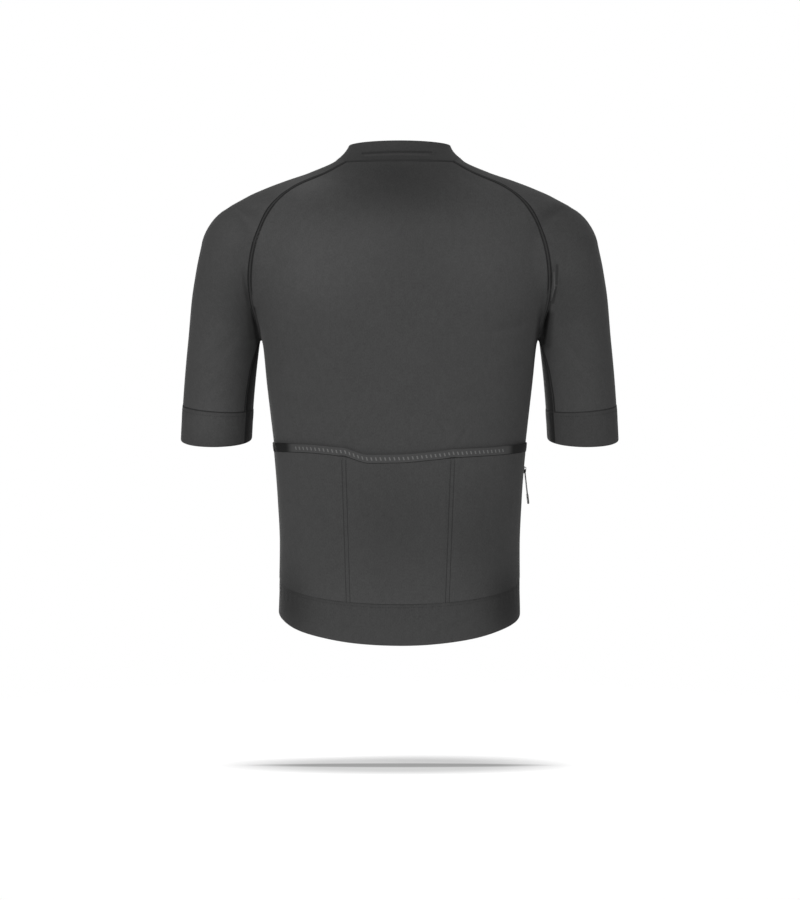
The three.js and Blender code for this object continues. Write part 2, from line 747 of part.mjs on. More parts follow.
function fromSolid(solid) {
  const { vertProperties, triVerts } = solid.getMesh();
  const geometry = new THREE.BufferGeometry();
  geometry.setAttribute("position", new THREE.BufferAttribute(new Float32Array(vertProperties), 3));
  geometry.setIndex(new THREE.BufferAttribute(new Uint32Array(triVerts), 1));
  return geometry;
}

const flatShape = (corners) => new THREE.Shape(corners.map(([x, y]) => new THREE.Vector2(x, y)));
function slab(shape, depth) {
  return new THREE.ExtrudeGeometry(shape, { depth, bevelEnabled: false, curveSegments: 5 });
}

// In a slider's own frame x runs across the zip, y up along it and z out from it
function sliderGeometry() {
  const { halfLength, halfWidth, thickness, clearance } = slider;
  const { nose, shoulderUp, waistUp } = sliderOutline;
  const plate = slab(flatShape([
    [-nose, -halfLength], [nose, -halfLength], [halfWidth, waistUp], [halfWidth, shoulderUp],
    [nose, halfLength], [-nose, halfLength], [-halfWidth, shoulderUp], [-halfWidth, waistUp],
  ]), thickness).translate(0, 0, clearance);
  const foot = clearance + thickness - arch.sunk;
  const ceiling = clearance + thickness + arch.tunnel;
  const crown = ceiling + arch.top;
  const inside = arch.halfLength - arch.leg;
  const bridge = slab(flatShape([
    [-arch.halfLength, foot], [-inside, foot], [-inside, ceiling], [inside, ceiling], [inside, foot],
    [arch.halfLength, foot],
    [arch.halfLength, crown - arch.chamfer],
    [arch.halfLength - arch.chamfer, crown],
    [arch.chamfer - arch.halfLength, crown], [-arch.halfLength, crown - arch.chamfer],
  ]), 2 * arch.halfWidth);
  // The side view is drawn with y as its first axis, so turn it round into place
  bridge.rotateX(Math.PI / 2).rotateZ(Math.PI / 2).translate(-arch.halfWidth, 0, 0);
  return fromSolid(toSolid(plate).add(toSolid(bridge)));
}

// A pull hangs from its bar, which lies on the x axis of its own frame
function pullGeometry({ length, width, thickness, grip, gripThickness }) {
  const half = width / 2;
  const end = ring.bar / 2 - length + half;
  const outline = new THREE.Shape();
  outline.moveTo(-half, ring.bar / 2).lineTo(-half, end);
  outline.absarc(0, end, half, Math.PI, 2 * Math.PI, false);
  outline.lineTo(half, ring.bar / 2);
  const { halfHole, hole, bar } = ring;
  outline.holes.push(new THREE.Path([
    new THREE.Vector2(-halfHole, -bar / 2), new THREE.Vector2(halfHole, -bar / 2),
    new THREE.Vector2(halfHole, -hole), new THREE.Vector2(-halfHole, -hole),
  ]));
  const tab = new THREE.Shape();
  const wide = half + ring.gripProud;
  tab.moveTo(-wide, end + grip - half).lineTo(-wide, end);
  tab.absarc(0, end, wide, Math.PI, 2 * Math.PI, false);
  tab.lineTo(wide, end + grip - half);
  const plate = slab(outline, thickness).translate(0, 0, -thickness / 2);
  const handle = slab(tab, gripThickness).translate(0, 0, -gripThickness / 2);
  return fromSolid(toSolid(plate).add(toSolid(handle)));
}

// Sets a slider and its pull on a zip: up runs along the zip and out is square to it
function addSlider(name, pull, { at, up, out }) {
  const place = new THREE.Group();
  const across = up.clone().cross(out).normalize();
  place.applyMatrix4(new THREE.Matrix4().makeBasis(across, up, out).setPosition(at));
  addPiece(`${name}_slider`, sliderGeometry(), darkMetal, place);
  const hinge = new THREE.Group();
  hinge.position.z = slider.clearance + slider.thickness + arch.tunnel / 2;
  hinge.rotation.x = -radians(pull.lean);
  addPiece(`${name}_pull`, pullGeometry(pull), softPull, hinge);
  place.add(hinge);
  jersey.add(place);
}

function addZips() {
  const front = frontZipGrid();
  addPiece("front_zip", wall(front, frontZip), zipTape);
  const { proud } = frontZip;
  const foot = leaveFigure(vector(0, 0, frontNeckDrop), vector(0, -1, 0)).point;
  const step = slider.halfLength / collarTopZ.frontFall / 2;
  const middle = collarPoint(foot, frontSliderUp);
  const up = collarPoint(foot, frontSliderUp + step).sub(collarPoint(foot, frontSliderUp - step)).normalize();
  const out = vector(1, 0, 0).cross(up);
  addSlider("front", frontPull, { at: middle.addScaledVector(out, proud), up, out });

  const lifted = { thickness: panelCloth, proud: layerGap + panelCloth };
  addPiece("side_zip", wall(sideZipGrid(), lifted), zipTape);
  const inFromSeam = sideZip.nearSeam + sideZip.width / 2;
  const { point, normal } = besideSideSeam(sideSliderZ, inFromSeam);
  const above = besideSideSeam(sideSliderZ + slider.halfLength, inFromSeam).point.sub(point).normalize();
  const square = normal.addScaledVector(above, -normal.dot(above)).normalize();
  const at = point.addScaledVector(square, lifted.proud);
  addSlider("side", sidePull, { at, up: above, out: square });
}

addPanels();
addSleeves();
addBands();
addPockets();
addZips();

export default jersey;
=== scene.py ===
# A short-sleeved cycling jersey in charcoal knit, filled out as if worn, sewn up around its own solids
import math

import bmesh
import bpy
import numpy as np
from mathutils.kdtree import KDTree
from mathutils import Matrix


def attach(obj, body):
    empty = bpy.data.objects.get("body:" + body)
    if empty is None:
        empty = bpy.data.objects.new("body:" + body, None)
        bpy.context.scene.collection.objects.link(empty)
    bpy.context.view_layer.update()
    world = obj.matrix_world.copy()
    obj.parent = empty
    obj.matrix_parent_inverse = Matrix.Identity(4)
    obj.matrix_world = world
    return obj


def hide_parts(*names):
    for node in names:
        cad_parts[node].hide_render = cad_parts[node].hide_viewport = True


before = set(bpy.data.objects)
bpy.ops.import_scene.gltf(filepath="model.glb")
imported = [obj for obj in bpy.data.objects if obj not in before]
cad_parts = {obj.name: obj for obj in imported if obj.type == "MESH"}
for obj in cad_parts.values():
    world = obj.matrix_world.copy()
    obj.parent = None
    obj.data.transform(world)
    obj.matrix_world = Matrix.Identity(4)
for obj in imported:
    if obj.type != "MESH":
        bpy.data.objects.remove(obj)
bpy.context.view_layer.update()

mm = 0.001
hollowBody = "jersey"

# The general figure that fills the jersey, in millimetres, in the same places as the solids
bodyForm = {
    "trunk": [  # z, half width, front, back, how square
        (40, 60, 46, 50, 2), (0, 84.4, 52, 67, 2), (-18, 122, 55, 74, 2), (-29, 154.5, 58, 78, 2),
        (-40, 183.2, 62, 82, 2), (-52, 208.7, 67, 87, 2.2), (-66, 228, 73, 91, 2.35), (-84, 218, 81, 96, 2.35),
        (-105, 212, 90, 102, 2.25), (-150, 208, 105, 110, 2.15), (-185, 204, 112, 114, 2.2),
        (-215, 192.5, 115, 115, 2.25), (-246, 185.8, 116, 115, 2.3), (-300, 180.2, 113, 112, 2.3),
        (-345, 174.9, 109, 108, 2.25), (-400, 168.9, 105, 104, 2.2), (-460, 164, 103, 103, 2.1),
        (-520, 161.4, 103, 105, 2), (-580, 162, 104, 109, 2), (-615, 162.8, 104, 111, 2), (-660, 159, 104, 112, 2),
    ],
    "arm": [  # z, x, y, half width, half depth
        (-114, 217.3, 0, 50.7, 64.5), (-150, 222.2, -2, 53.3, 64), (-190, 231.4, -5, 50.5, 61),
        (-245, 238.5, -10, 48.6, 57), (-340, 247.9, -21, 48.2, 53), (-395, 251.3, -28, 48.2, 52),
    ],
    "shoulder": (52, 1.41),  # its rise above the arm's top row and how pointed it is
    "fillet": [  # z, how wide the soft joint between trunk and arm is
        (-58, 5), (-90, 13), (-110, 20), (-150, 32), (-200, 14), (-240, 8), (-252, 6.4), (-275, 2),
    ],
}

# Where the panels are cut apart, in millimetres: seams as x, z seen square on, bands as sloping planes
cut = {
    "backRaglan": [
        (71.6, -6.9), (98, -21.5), (139, -39.7), (163.6, -60), (181.5, -85), (194.8, -122), (200, -165),
        (197.5, -196.5), (191.8, -220),
    ],
    "frontRaglan": [
        (66, -24), (84, -40), (108, -56), (132, -78), (150, -102), (164, -130), (177, -162), (185, -192),
        (188, -218),
    ],
    "sideSeamY": -6,
    "armpitWithin": ((180, 196), (-290, -225)),  # where the armpit is looked for: x, and z from open to shut
    "armpitSpread": 1.15,
    "armpitTip": 1.5,
    "armReach": 80,
    "armAxisBlend": 60,
    "sleeveLevel": (0.82, 0.16, 1.5),  # from where, over how much and how softly the sleeve's rows turn level
    "frontNeckDrop": -62,
    "neckSideAngle": 82,
    "sleeveFanTop": (78, 0, -45),
    "fanDepth": 0.75,
    "frontEdgeX": 5,
    "hemSeam": (-559.5, -0.3, 0.7),
    "hemEdge": (-611, -0.31, 1),
    "hemDepth": 110,
    "cuffSeam": (-335.4, 0.07, -0.12, 1),
    "cuffEdge": (-376.6, 0, -0.22, 0.8),
    "cuffCentre": (245, -25),
    "cuffDepth": 52,
    "underarmTurn": 38,
    "pocketMouth": [
        (-175, -388), (-130, -392), (-73, -395), (-42, -398), (0, -401.5), (40, -402), (73, -393.5),
        (131, -388.5), (175, -388),
    ],
    "elasticHeight": 12,
}

# How finely each panel is divided
fineness = {
    "raglanRows": 60, "sideRows": 44, "elasticRows": 6, "pocketRows": 52, "backHalfColumns": 76,
    "frontColumns": 72, "sleeveColumns": 132, "lowerSleeveRows": 46, "cuffRows": 12, "hemRows": 14,
    "collarRows": 20,
}


def lerp(start, end, share):
    return start + (end - start) * share


def smoothTable(rows):  # joins a table's rows by curves that never overshoot them
    table = np.array(sorted(rows), float)
    knots, values = table[:, 0], table[:, 1:]
    rises = np.diff(values, axis=0) / np.diff(knots)[:, None]
    before = np.vstack([rises[:1], rises])
    after = np.vstack([rises, rises[-1:]])
    total = np.where(before * after > 0, before + after, 1)
    slopes = np.where(before * after > 0, 2 * before * after / total, 0)

    def at(where):
        where = np.clip(where, knots[0], knots[-1])
        i = np.clip(np.searchsorted(knots, where, side="right") - 1, 0, len(knots) - 2)
        step = (knots[i + 1] - knots[i])[..., None]
        t = (where - knots[i])[..., None] / step
        fromStart = (1 + 2 * t) * values[i] + t * step * slopes[i]
        fromEnd = (3 - 2 * t) * values[i + 1] + (t - 1) * step * slopes[i + 1]
        return np.moveaxis((1 - t) ** 2 * fromStart + t ** 2 * fromEnd, -1, 0)

    return at


trunkAt = smoothTable(bodyForm["trunk"])
armAt = smoothTable(bodyForm["arm"])
filletAt = smoothTable(bodyForm["fillet"])
mouthAt = smoothTable(cut["pocketMouth"])


def figure(points):  # below zero inside: trunk and arms with a soft fillet between them
    x, y, z = np.abs(points[..., 0]), points[..., 1], points[..., 2]
    halfWidth, front, back, square = trunkAt(z)
    depth = np.where(y > 0, back, front)
    level = ((x / halfWidth) ** square + (np.abs(y) / depth) ** square) ** (1 / square)
    body = np.hypot(x, y) * (1 - 1 / np.maximum(level, 0.01))
    armX, armY, armWidth, armDepth = armAt(z)
    above = np.maximum(z - bodyForm["arm"][0][0], 0)
    across, deep = x - armX, y - armY
    rise, slant = bodyForm["shoulder"]
    level = np.sqrt((across / armWidth) ** 2 + (deep / armDepth) ** 2 + (above / rise) ** slant)
    limb = np.sqrt(across ** 2 + deep ** 2 + above ** 2) * (1 - 1 / np.maximum(level, 0.01))
    radius = filletAt(z)[0]
    overlap = np.maximum(radius - np.abs(body - limb), 0) / radius
    return np.minimum(body, limb) - overlap ** 2 * radius / 4


def unit(vectors):
    return vectors / np.maximum(np.linalg.norm(vectors, axis=-1, keepdims=True), 1e-9)


def slopeOf(points, step=0.4, field=figure):
    return np.stack([field(points + e) - field(points - e) for e in np.eye(3) * step], -1) / (2 * step)


def outward(points):
    return unit(slopeOf(points))


def ontoFigure(points):
    for _ in range(3):
        slope = slopeOf(points)
        size = np.maximum((slope ** 2).sum(-1, keepdims=True), 0.05)
        points = points - slope * figure(points)[..., None] / size
    return points


def leaveFigure(origin, direction, stride=3.0):  # where rays from inside first leave the figure
    origin, direction = np.broadcast_arrays(np.asarray(origin, float), np.asarray(direction, float))
    direction = unit(direction)
    far = np.full(origin.shape[:-1], stride)
    going = np.ones(far.shape, bool)
    for _ in range(160):
        going &= figure(origin + direction * far[..., None]) <= 0
        if not going.any():
            break
        far = np.where(going, far + stride, far)
    near = far - stride
    for _ in range(15):
        middle = (near + far) / 2
        out = figure(origin + direction * middle[..., None]) > 0
        far = np.where(out, middle, far)
        near = np.where(out, near, middle)
    return origin + direction * near[..., None]


def smoothPath(points, samples=40):  # centripetal curve through the points
    p = np.array(points, float)
    p = np.vstack([2 * p[0] - p[1], p, 2 * p[-1] - p[-2]])
    t = np.linspace(0, 1, samples, endpoint=False)[:, None]
    stretches = []
    for a, b, c, d in zip(p, p[1:], p[2:], p[3:]):
        s0, s1, s2 = (np.linalg.norm(leg) ** 0.5 for leg in (b - a, c - b, d - c))
        m1 = ((b - a) / s0 - (c - a) / (s0 + s1) + (c - b) / s1) * s1
        m2 = ((c - b) / s1 - (d - b) / (s1 + s2) + (d - c) / s2) * s1
        stretches.append(b + m1 * t + (3 * (c - b) - 2 * m1 - m2) * t ** 2 + (m1 + m2 - 2 * (c - b)) * t ** 3)
    return np.vstack([*stretches, p[-2:-1]])


def arcs(path):  # how far along its first axis each point of a path or a grid lies
    steps = np.linalg.norm(np.diff(path, axis=0), axis=-1)
    return np.concatenate([0 * steps[:1], np.cumsum(steps, 0)])


def alongPath(path, shares):
    reach = arcs(path)
    return np.stack([np.interp(np.asarray(shares) * reach[-1], reach, column) for column in path.T], -1)


def at(x, y, z):
    return np.stack(np.broadcast_arrays(x, y, z), -1).astype(float)


def findArmpit():
    (nearX, farX), (openZ, shutZ) = cut["armpitWithin"]
    across = np.arange(nearX, farX, 0.25)

    def slotAt(z):
        gaps = figure(at(across, cut["sideSeamY"], z))
        return across[gaps.argmax()], gaps.max()

    for _ in range(24):
        middle = (openZ + shutZ) / 2
        if slotAt(middle)[1] > 0:
            openZ = middle
        else:
            shutZ = middle
    return np.array([slotAt(openZ)[0], cut["sideSeamY"], shutZ])


armpit = findArmpit()
rowCount = fineness["raglanRows"]
rowShare = np.arange(rowCount + 1) / rowCount
seamShare = 1 - (1 - rowShare) ** cut["armpitSpread"]


def raglanSeam(rows, side):
    drawn = smoothPath([(x, 0, z) for x, z in rows] + [(armpit[0], 0, armpit[2])])
    closer = 1 - np.linspace(1, 0, 900, endpoint=False) ** 2
    spots = alongPath(drawn, closer)
    spots[:, 1] = cut["sideSeamY"]
    return alongPath(np.vstack([leaveFigure(spots, (0, side, 0)), armpit]), seamShare)


def bowed(depth, half, power):  # below one the power makes the middle flatter and the ends steeper
    return np.sign(depth) * half * (np.abs(depth) / half) ** power


def onSlope(plane, y):
    return plane[0] + plane[1] * np.where(y > 0, bowed(y, cut["hemDepth"], plane[2]), y)


def settle(start, castAt, heightAt, rounds=3):
    points = castAt(start)
    for _ in range(rounds):
        points = castAt(heightAt(points))
    return points


backSeam = raglanSeam(cut["backRaglan"], 1)
frontSeam = raglanSeam(cut["frontRaglan"], -1)


def backHeights(points, flip=1):  # rows from the neck down: raglan, side, elastic and pocket rows
    mouth = mouthAt(points[..., 0] * flip)[0]
    half = cut["elasticHeight"] / 2
    middle = lerp(backSeam[0, 2], armpit[2], rowShare)[:, None]
    share = np.linspace(0, 1, points.shape[1])[None] if points.shape[1] > 1 else np.ones((1, 1))
    blocks = [lerp(middle, backSeam[:, None, 2], share ** 3)]
    start = len(backSeam)
    levels = [0 * mouth + armpit[2], mouth + half, mouth - half, onSlope(cut["hemSeam"], points[..., 1])]
    for name, above, below, power in zip(("sideRows", "elasticRows", "pocketRows"), levels, levels[1:], (1.3, 1, 1)):
        end = start + fineness[name]
        down = (np.arange(1, fineness[name] + 1) / fineness[name])[:, None] ** power
        blocks.append(lerp(above[start:end], below[start:end], down))
        start = end
    return np.vstack(blocks)


backRows = rowCount + 1 + fineness["sideRows"] + fineness["elasticRows"] + fineness["pocketRows"]
mouthTop = rowCount + fineness["sideRows"]
mouthFoot = mouthTop + fineness["elasticRows"]


def makeSideSeam():
    def cast(z):
        return leaveFigure(at(0, cut["sideSeamY"], z), (1, 0, 0))

    lower = settle(np.full((backRows, 1), armpit[2]), cast, backHeights)[:, 0]
    return np.vstack([backSeam, lower[rowCount + 1:]])


def fanGrid(edge, share, middleX, side, heightAt):  # rays fan out from inside, from a panel's middle to its seam
    def cast(z):
        section = trunkAt(z)
        fanY = -side * cut["fanDepth"] * (section[1] if side > 0 else section[2])
        edgeAngle = np.arctan2(side * (edge[:, None, 1] - fanY), edge[:, None, 0] - middleX)
        angle = lerp(math.pi / 2, edgeAngle, share)
        return leaveFigure(at(middleX, fanY, z), at(np.cos(angle), side * np.sin(angle), 0))

    start = np.repeat(edge[:, 2:3], share.shape[1], 1)
    grid = settle(start, cast, heightAt)
    return np.where((share == 1)[..., None], edge[:, None], grid)


def mirrored(points):
    return points * (-1, 1, 1)


sideSeam = makeSideSeam()
halfShare = np.linspace(0, 1, fineness["backHalfColumns"] + 1)[None]
leftHalf = fanGrid(sideSeam, halfShare, 0, 1, backHeights)
rightHalf = mirrored(fanGrid(sideSeam, halfShare, 0, 1, lambda points: backHeights(points, -1)))
backGrid = np.concatenate([rightHalf[:, :0:-1], leftHalf], 1)
frontEdge = np.vstack([frontSeam, sideSeam[rowCount + 1:]])
frontShare = np.linspace(0, 1, fineness["frontColumns"] + 1)[None]


def frontHeights(points):  # rows dip towards the middle: with the neckline above, with the hem below
    edgeZ = frontEdge[:, None, 2]
    upper = lerp(cut["frontNeckDrop"], armpit[2], np.linspace(0, 1, rowCount + 1))
    upper = np.concatenate([upper, np.full(backRows - len(upper), armpit[2])])[:, None]
    upper = lerp(upper, edgeZ, frontShare ** 2)
    fall = (armpit[2] - edgeZ) / (armpit[2] - frontEdge[-1, 2])
    slope = onSlope(cut["hemSeam"], points[..., 1]) - onSlope(cut["hemSeam"], cut["sideSeamY"])
    lower = edgeZ + slope * fall
    return np.where(np.arange(backRows)[:, None] <= rowCount, upper, lower)


frontGrid = fanGrid(frontEdge, frontShare, cut["frontEdgeX"], -1, frontHeights)


def shoulderGrid():  # above the armpit a sleeve runs from the back seam over the shoulder to the front seam
    top = np.array(cut["sleeveFanTop"], float)
    foot = np.array([armAt(armpit[2])[0], cut["sideSeamY"], armpit[2]])
    centre = lerp(top, foot, seamShare[:, None])
    crest = np.radians(cut["neckSideAngle"] * (1 - seamShare))
    ahead = at(np.cos(crest), 0, np.sin(crest))
    fromShare, overShare, power = cut["sleeveLevel"]
    levelling = np.clip((seamShare[:, None] - fromShare) / overShare, 0, 1) ** power

    def sweep(seam, side):
        toSeam = seam - centre
        forward = (toSeam * ahead).sum(-1, keepdims=True)
        turn = np.arccos(np.clip(forward[:, 0] / np.linalg.norm(toSeam, axis=-1), -1, 1))
        across = unit(lerp(unit(toSeam - ahead * forward), (0, side, 0), levelling))
        return turn[:, None], across[:, None]

    backTurn, backAcross = sweep(backSeam, 1)
    frontTurn, frontAcross = sweep(frontSeam, -1)
    turn = lerp(backTurn, -frontTurn, np.linspace(0, 1, fineness["sleeveColumns"] + 1)[None])[..., None]
    across = np.where(turn > 0, backAcross, frontAcross)
    grid = leaveFigure(centre[:, None], ahead[:, None] * np.cos(turn) + across * np.sin(np.abs(turn)))
    lost = (levelling > 0) & (np.linalg.norm(grid - centre[:, None], axis=-1) > cut["armReach"])
    grid[:, 0], grid[:, -1] = backSeam, frontSeam
    lost[:, [0, -1]] = False
    return mended(grid, lost)


def mended(grid, lost):  # rays that miss the armpit give way to even steps between their neighbours
    columns = np.arange(grid.shape[1])
    for row in lost.any(1).nonzero()[0]:
        kept = ~lost[row]
        for axis in range(3):
            grid[row, :, axis] = np.interp(columns, columns[kept], grid[row, kept, axis])
        grid[row, ~kept] = ontoFigure(grid[row, ~kept])
    return grid


def onCuffPlane(plane, points):
    centreX, centreY = cut["cuffCentre"]
    deep = bowed(points[..., 1] - centreY, cut["cuffDepth"], plane[3])
    return plane[0] + plane[1] * (points[..., 0] - centreX) + plane[2] * deep


def armRings(turnDown, heightAt):  # rings that start at the underarm seam and run round by the back
    seamAngle = 180 - cut["underarmTurn"] * (1 - (1 - turnDown) ** 3)
    columns = np.linspace(0, 360, fineness["sleeveColumns"] + 1)[None]
    angle = np.radians(seamAngle[:, None] - columns)

    def cast(z):
        armX, armY = armAt(z)[:2]
        middleY = lerp(cut["sideSeamY"], armY, np.clip((armpit[2] - z) / cut["armAxisBlend"], 0, 1))
        return leaveFigure(at(armX, middleY, z), at(np.cos(angle), np.sin(angle), 0))

    rings = settle(np.full(angle.shape, armpit[2] - 20), cast, heightAt)
    rings[:, -1] = rings[:, 0]
    return rings


def lowerSleeve():
    rows = fineness["lowerSleeveRows"]
    down = (np.arange(1, rows + 1) / rows) ** 1.3
    return armRings(down, lambda points: lerp(armpit[2], onCuffPlane(cut["cuffSeam"], points), down[:, None]))


sleeveGrid = np.concatenate([shoulderGrid(), lowerSleeve()])
cuffShare = np.linspace(0, 1, fineness["cuffRows"] + 1)


def cuffHeights(points):
    return lerp(onCuffPlane(cut["cuffSeam"], points), onCuffPlane(cut["cuffEdge"], points), cuffShare[:, None])


cuffGrid = armRings(np.ones(len(cuffShare)), cuffHeights)
cuffGrid[0] = sleeveGrid[-1]
hemTop = np.concatenate([frontGrid[-1], backGrid[-1, -2::-1], mirrored(frontGrid[-1, -2::-1])])
hemShare = np.linspace(0, 1, fineness["hemRows"] + 1)[:, None]


def makeHemGrid():
    x, y = hemTop[:, 0], hemTop[:, 1]
    nearFront = (y < 0) & (np.abs(x) < cut["frontEdgeX"] + 1)
    direction = np.where(nearFront[:, None], (0, -1, 0), at(x, y, 0))[None]

    def cast(z):
        return leaveFigure(at(np.where(nearFront, x, 0)[None], 0, z), direction)

    def heights(points):
        return lerp(onSlope(cut["hemSeam"], points[..., 1]), onSlope(cut["hemEdge"], points[..., 1]), hemShare)

    grid = settle(np.repeat(hemTop[None, :, 2], len(hemShare), 0), cast, heights)
    grid[0] = hemTop
    return grid


hemGrid = makeHemGrid()
halfNeck = np.concatenate([frontGrid[0], sleeveGrid[0, -2::-1]])
neckEdge = np.concatenate([halfNeck, backGrid[0, -2:0:-1], mirrored(halfNeck)[::-1]])
print("figure and panels:", backGrid.shape, frontGrid.shape, sleeveGrid.shape, "armpit", armpit.round(1))

# Creases seen square on, in millimetres: the x, z points of a soft trough with ridges beside it, its depth and width
creases = {
    "back": [
        ((206, -148), (203, -170), (197, -198), 2.2, 6), ((-205, -140), (-205, -158), (-201, -178), 2.6, 5),
        ((-212, -160), (-209, -180), (-202, -200), 1.8, 4.5), ((184, -215), (160, -226), (128, -231), 1.1, 9),
        ((-183, -212), (-152, -228), (-112, -236), 1.3, 9), ((176, -262), (150, -274), (118, -278), 0.7, 8),
        ((-176, -270), (-146, -286), (-108, -292), 0.8, 9), ((76, -386), (84, -366), (96, -344), 0.7, 5),
        ((70, -386), (62, -368), (50, -350), 0.6, 5), ((-70, -386), (-60, -366), (-46, -346), 0.7, 5),
        ((-76, -386), (-86, -368), (-100, -350), 0.8, 5), ((-110, -372), (-136, -366), (-158, -368), 0.6, 5),
        ((160, -366), (132, -362), (104, -368), 0.6, 6), ((150, -440), (136, -480), (140, -520), 0.7, 10),
        ((26, -425), (20, -470), (30, -515), 0.6, 11), ((-22, -430), (-28, -480), (-20, -530), 0.5, 10),
        ((-120, -436), (-112, -482), (-122, -528), 0.7, 10), ((232, -300), (262, -318), (284, -312), 0.9, 8),
        ((-232, -306), (-258, -322), (-284, -320), 0.9, 8), ((214, -232), (240, -262), (268, -276), 1, 10),
        ((-214, -236), (-240, -268), (-266, -286), 1.1, 10), ((30, -22), (0, -28), (-34, -24), 0.8, 7),
        ((62, -44), (40, -66), (10, -78), 0.6, 12), ((-60, -42), (-44, -64), (-16, -80), 0.6, 12),
    ],
    "front": [
        ((186, -206), (158, -222), (122, -228), 2, 9), ((-186, -208), (-154, -226), (-112, -230), 1.8, 9),
        ((178, -240), (146, -262), (106, -270), 1.4, 9), ((-178, -244), (-150, -260), (-112, -272), 1.4, 10),
        ((176, -180), (152, -172), (122, -170), 1.2, 8), ((-176, -184), (-150, -176), (-126, -178), 1.1, 8),
        ((10, -96), (40, -110), (66, -108), 0.8, 7), ((-10, -88), (-36, -102), (-58, -104), 0.8, 7),
        ((9, -300), (34, -306), (62, -300), 0.9, 6), ((-9, -330), (-38, -338), (-70, -330), 1, 6),
        ((9, -392), (44, -402), (86, -398), 1.2, 7), ((-9, -420), (-40, -430), (-76, -424), 1.1, 7),
        ((9, -470), (38, -478), (70, -474), 0.9, 7), ((-9, -510), (-44, -520), (-82, -512), 1, 7),
        ((158, -360), (126, -374), (88, -372), 1, 9), ((-158, -350), (-122, -366), (-84, -362), 0.9, 9),
        ((216, -238), (244, -258), (272, -262), 1.9, 8), ((-216, -232), (-242, -254), (-272, -258), 1.8, 8),
        ((212, -268), (238, -286), (266, -290), 1.5, 8), ((-212, -272), (-240, -288), (-264, -288), 1.6, 8),
        ((204, -170), (222, -196), (240, -208), 1.4, 8), ((-204, -168), (-220, -192), (-242, -206), 1.4, 8),
    ],
}
facings = (("back", 1), ("front", -1))


def creaseStrokes():
    strokes = []
    for face, side in facings:
        for *line, depth, width in creases[face]:
            flat = smoothPath([(x, 0, z) for x, z in line], 8)
            flat[:, 1] = cut["sideSeamY"]
            strokes.append((leaveFigure(flat, (0, side, 0)), depth, width))
    return strokes


strokes = creaseStrokes()


def relief(points):  # how far the creases lift (or sink) the cloth, the same for all that meets there
    flat = points.reshape(-1, 3)
    height = np.zeros(len(flat))
    for path, depth, width in strokes:
        reach = 3 * width
        near = np.all((flat > path.min(0) - reach) & (flat < path.max(0) + reach), axis=1).nonzero()[0]
        if not len(near):
            continue
        share = arcs(path) / arcs(path)[-1]
        best, where = np.full(len(near), np.inf), np.zeros(len(near))
        for i in range(len(path) - 1):
            leg = path[i + 1] - path[i]
            t = np.clip(((flat[near] - path[i]) @ leg) / (leg @ leg), 0, 1)
            gap = np.linalg.norm(flat[near] - path[i] - t[:, None] * leg, axis=1)
            where = np.where(gap < best, lerp(share[i], share[i + 1], t), where)
            best = np.minimum(gap, best)
        fade = np.sin(math.pi * np.clip(where, 0.02, 0.98)) ** 0.8
        spread = (best / width) ** 2
        height[near] -= depth * fade * (1 - 1.3 * spread) * np.exp(-spread)
    return height.reshape(points.shape[:-1])


def swell(points):  # very soft unevenness all over, from a few long waves
    x, y, z = np.moveaxis(points, -1, 0)
    broad = 0.25 * np.sin(x / 31 + z / 47 + 0.6) * np.sin(z / 38 - y / 29)
    return broad + 0.18 * np.sin(x / 19 - z / 61 + y / 23 + 2.1)


def clothLift(points):
    return relief(points) + swell(points)


def clothOn(grid):  # lays a grid's cloth on the figure, with its ways out; at the very armpit the way out is down
    normals = outward(grid)
    nearest = armpit * np.where(grid[..., :1] < 0, (-1, 1, 1), (1, 1, 1))
    normals[np.linalg.norm(grid - nearest, axis=-1) < cut["armpitTip"]] = (0, 0, -1)
    return grid + normals * clothLift(grid)[..., None], normals


def trueNormals(points):  # of the figure with its creases, worked out from the forms themselves
    return unit(slopeOf(points, 0.5, lambda spots: figure(spots) - clothLift(spots)))


def plug(node, name, value):
    if isinstance(value, Wire):
        value.tree.links.new(value.socket, node.inputs[name])
    else:
        node.inputs[name].default_value = value


# Node expressions: a wrapped socket takes part in Python arithmetic, here and in Geometry Nodes
class Wire:
    def __init__(self, tree, socket=None):
        self.tree, self.socket = tree, socket

    def node(self, kind, settings=None, sockets=None, out=0):
        made = self.tree.nodes.new(kind)
        for name, value in (settings or {}).items():
            setattr(made, name, value)
        for name, value in (sockets or {}).items():
            plug(made, name, value)
        return Wire(self.tree, made.outputs[out])

    def maths(self, operation, *values):
        return self.node("ShaderNodeMath", {"operation": operation}, dict(enumerate(values)))

    def vector(self, operation, sockets, out=0):
        return self.node("ShaderNodeVectorMath", {"operation": operation}, sockets, out)

    def __gt__(self, other):
        return self.maths("GREATER_THAN", self, other)

    def __lt__(self, other):
        return self.maths("LESS_THAN", self, other)

    def absolute(self):
        return self.maths("ABSOLUTE", self)

    def wave(self, pitch, phase=0.0):  # a sine along this length, its pitch in millimetres
        return self.maths("SINE", self * (2 * math.pi / (pitch * mm)) + phase)

    def blend(self, dark, light):  # this value picks between two colours
        return self.node("ShaderNodeMix", {"data_type": "RGBA"}, {0: self, 6: dark, 7: light}, 2)

    def ranged(self, start, end, low=0.0, high=1.0, kind="SMOOTHSTEP"):  # low at the start, high at the end
        return self.node("ShaderNodeMapRange", {"interpolation_type": kind}, {
            "Value": self, "From Min": start, "From Max": end, "To Min": low, "To Max": high})

    def noise(self, scale, detail=2.0, roughness=0.5):  # at this place
        return self.node("ShaderNodeTexNoise", None, {
            "Vector": self, "Scale": scale, "Detail": detail, "Roughness": roughness})

    def bump(self, strength, distance):  # from this height
        return self.node("ShaderNodeBump", None, {"Strength": strength, "Distance": distance * mm, "Height": self})


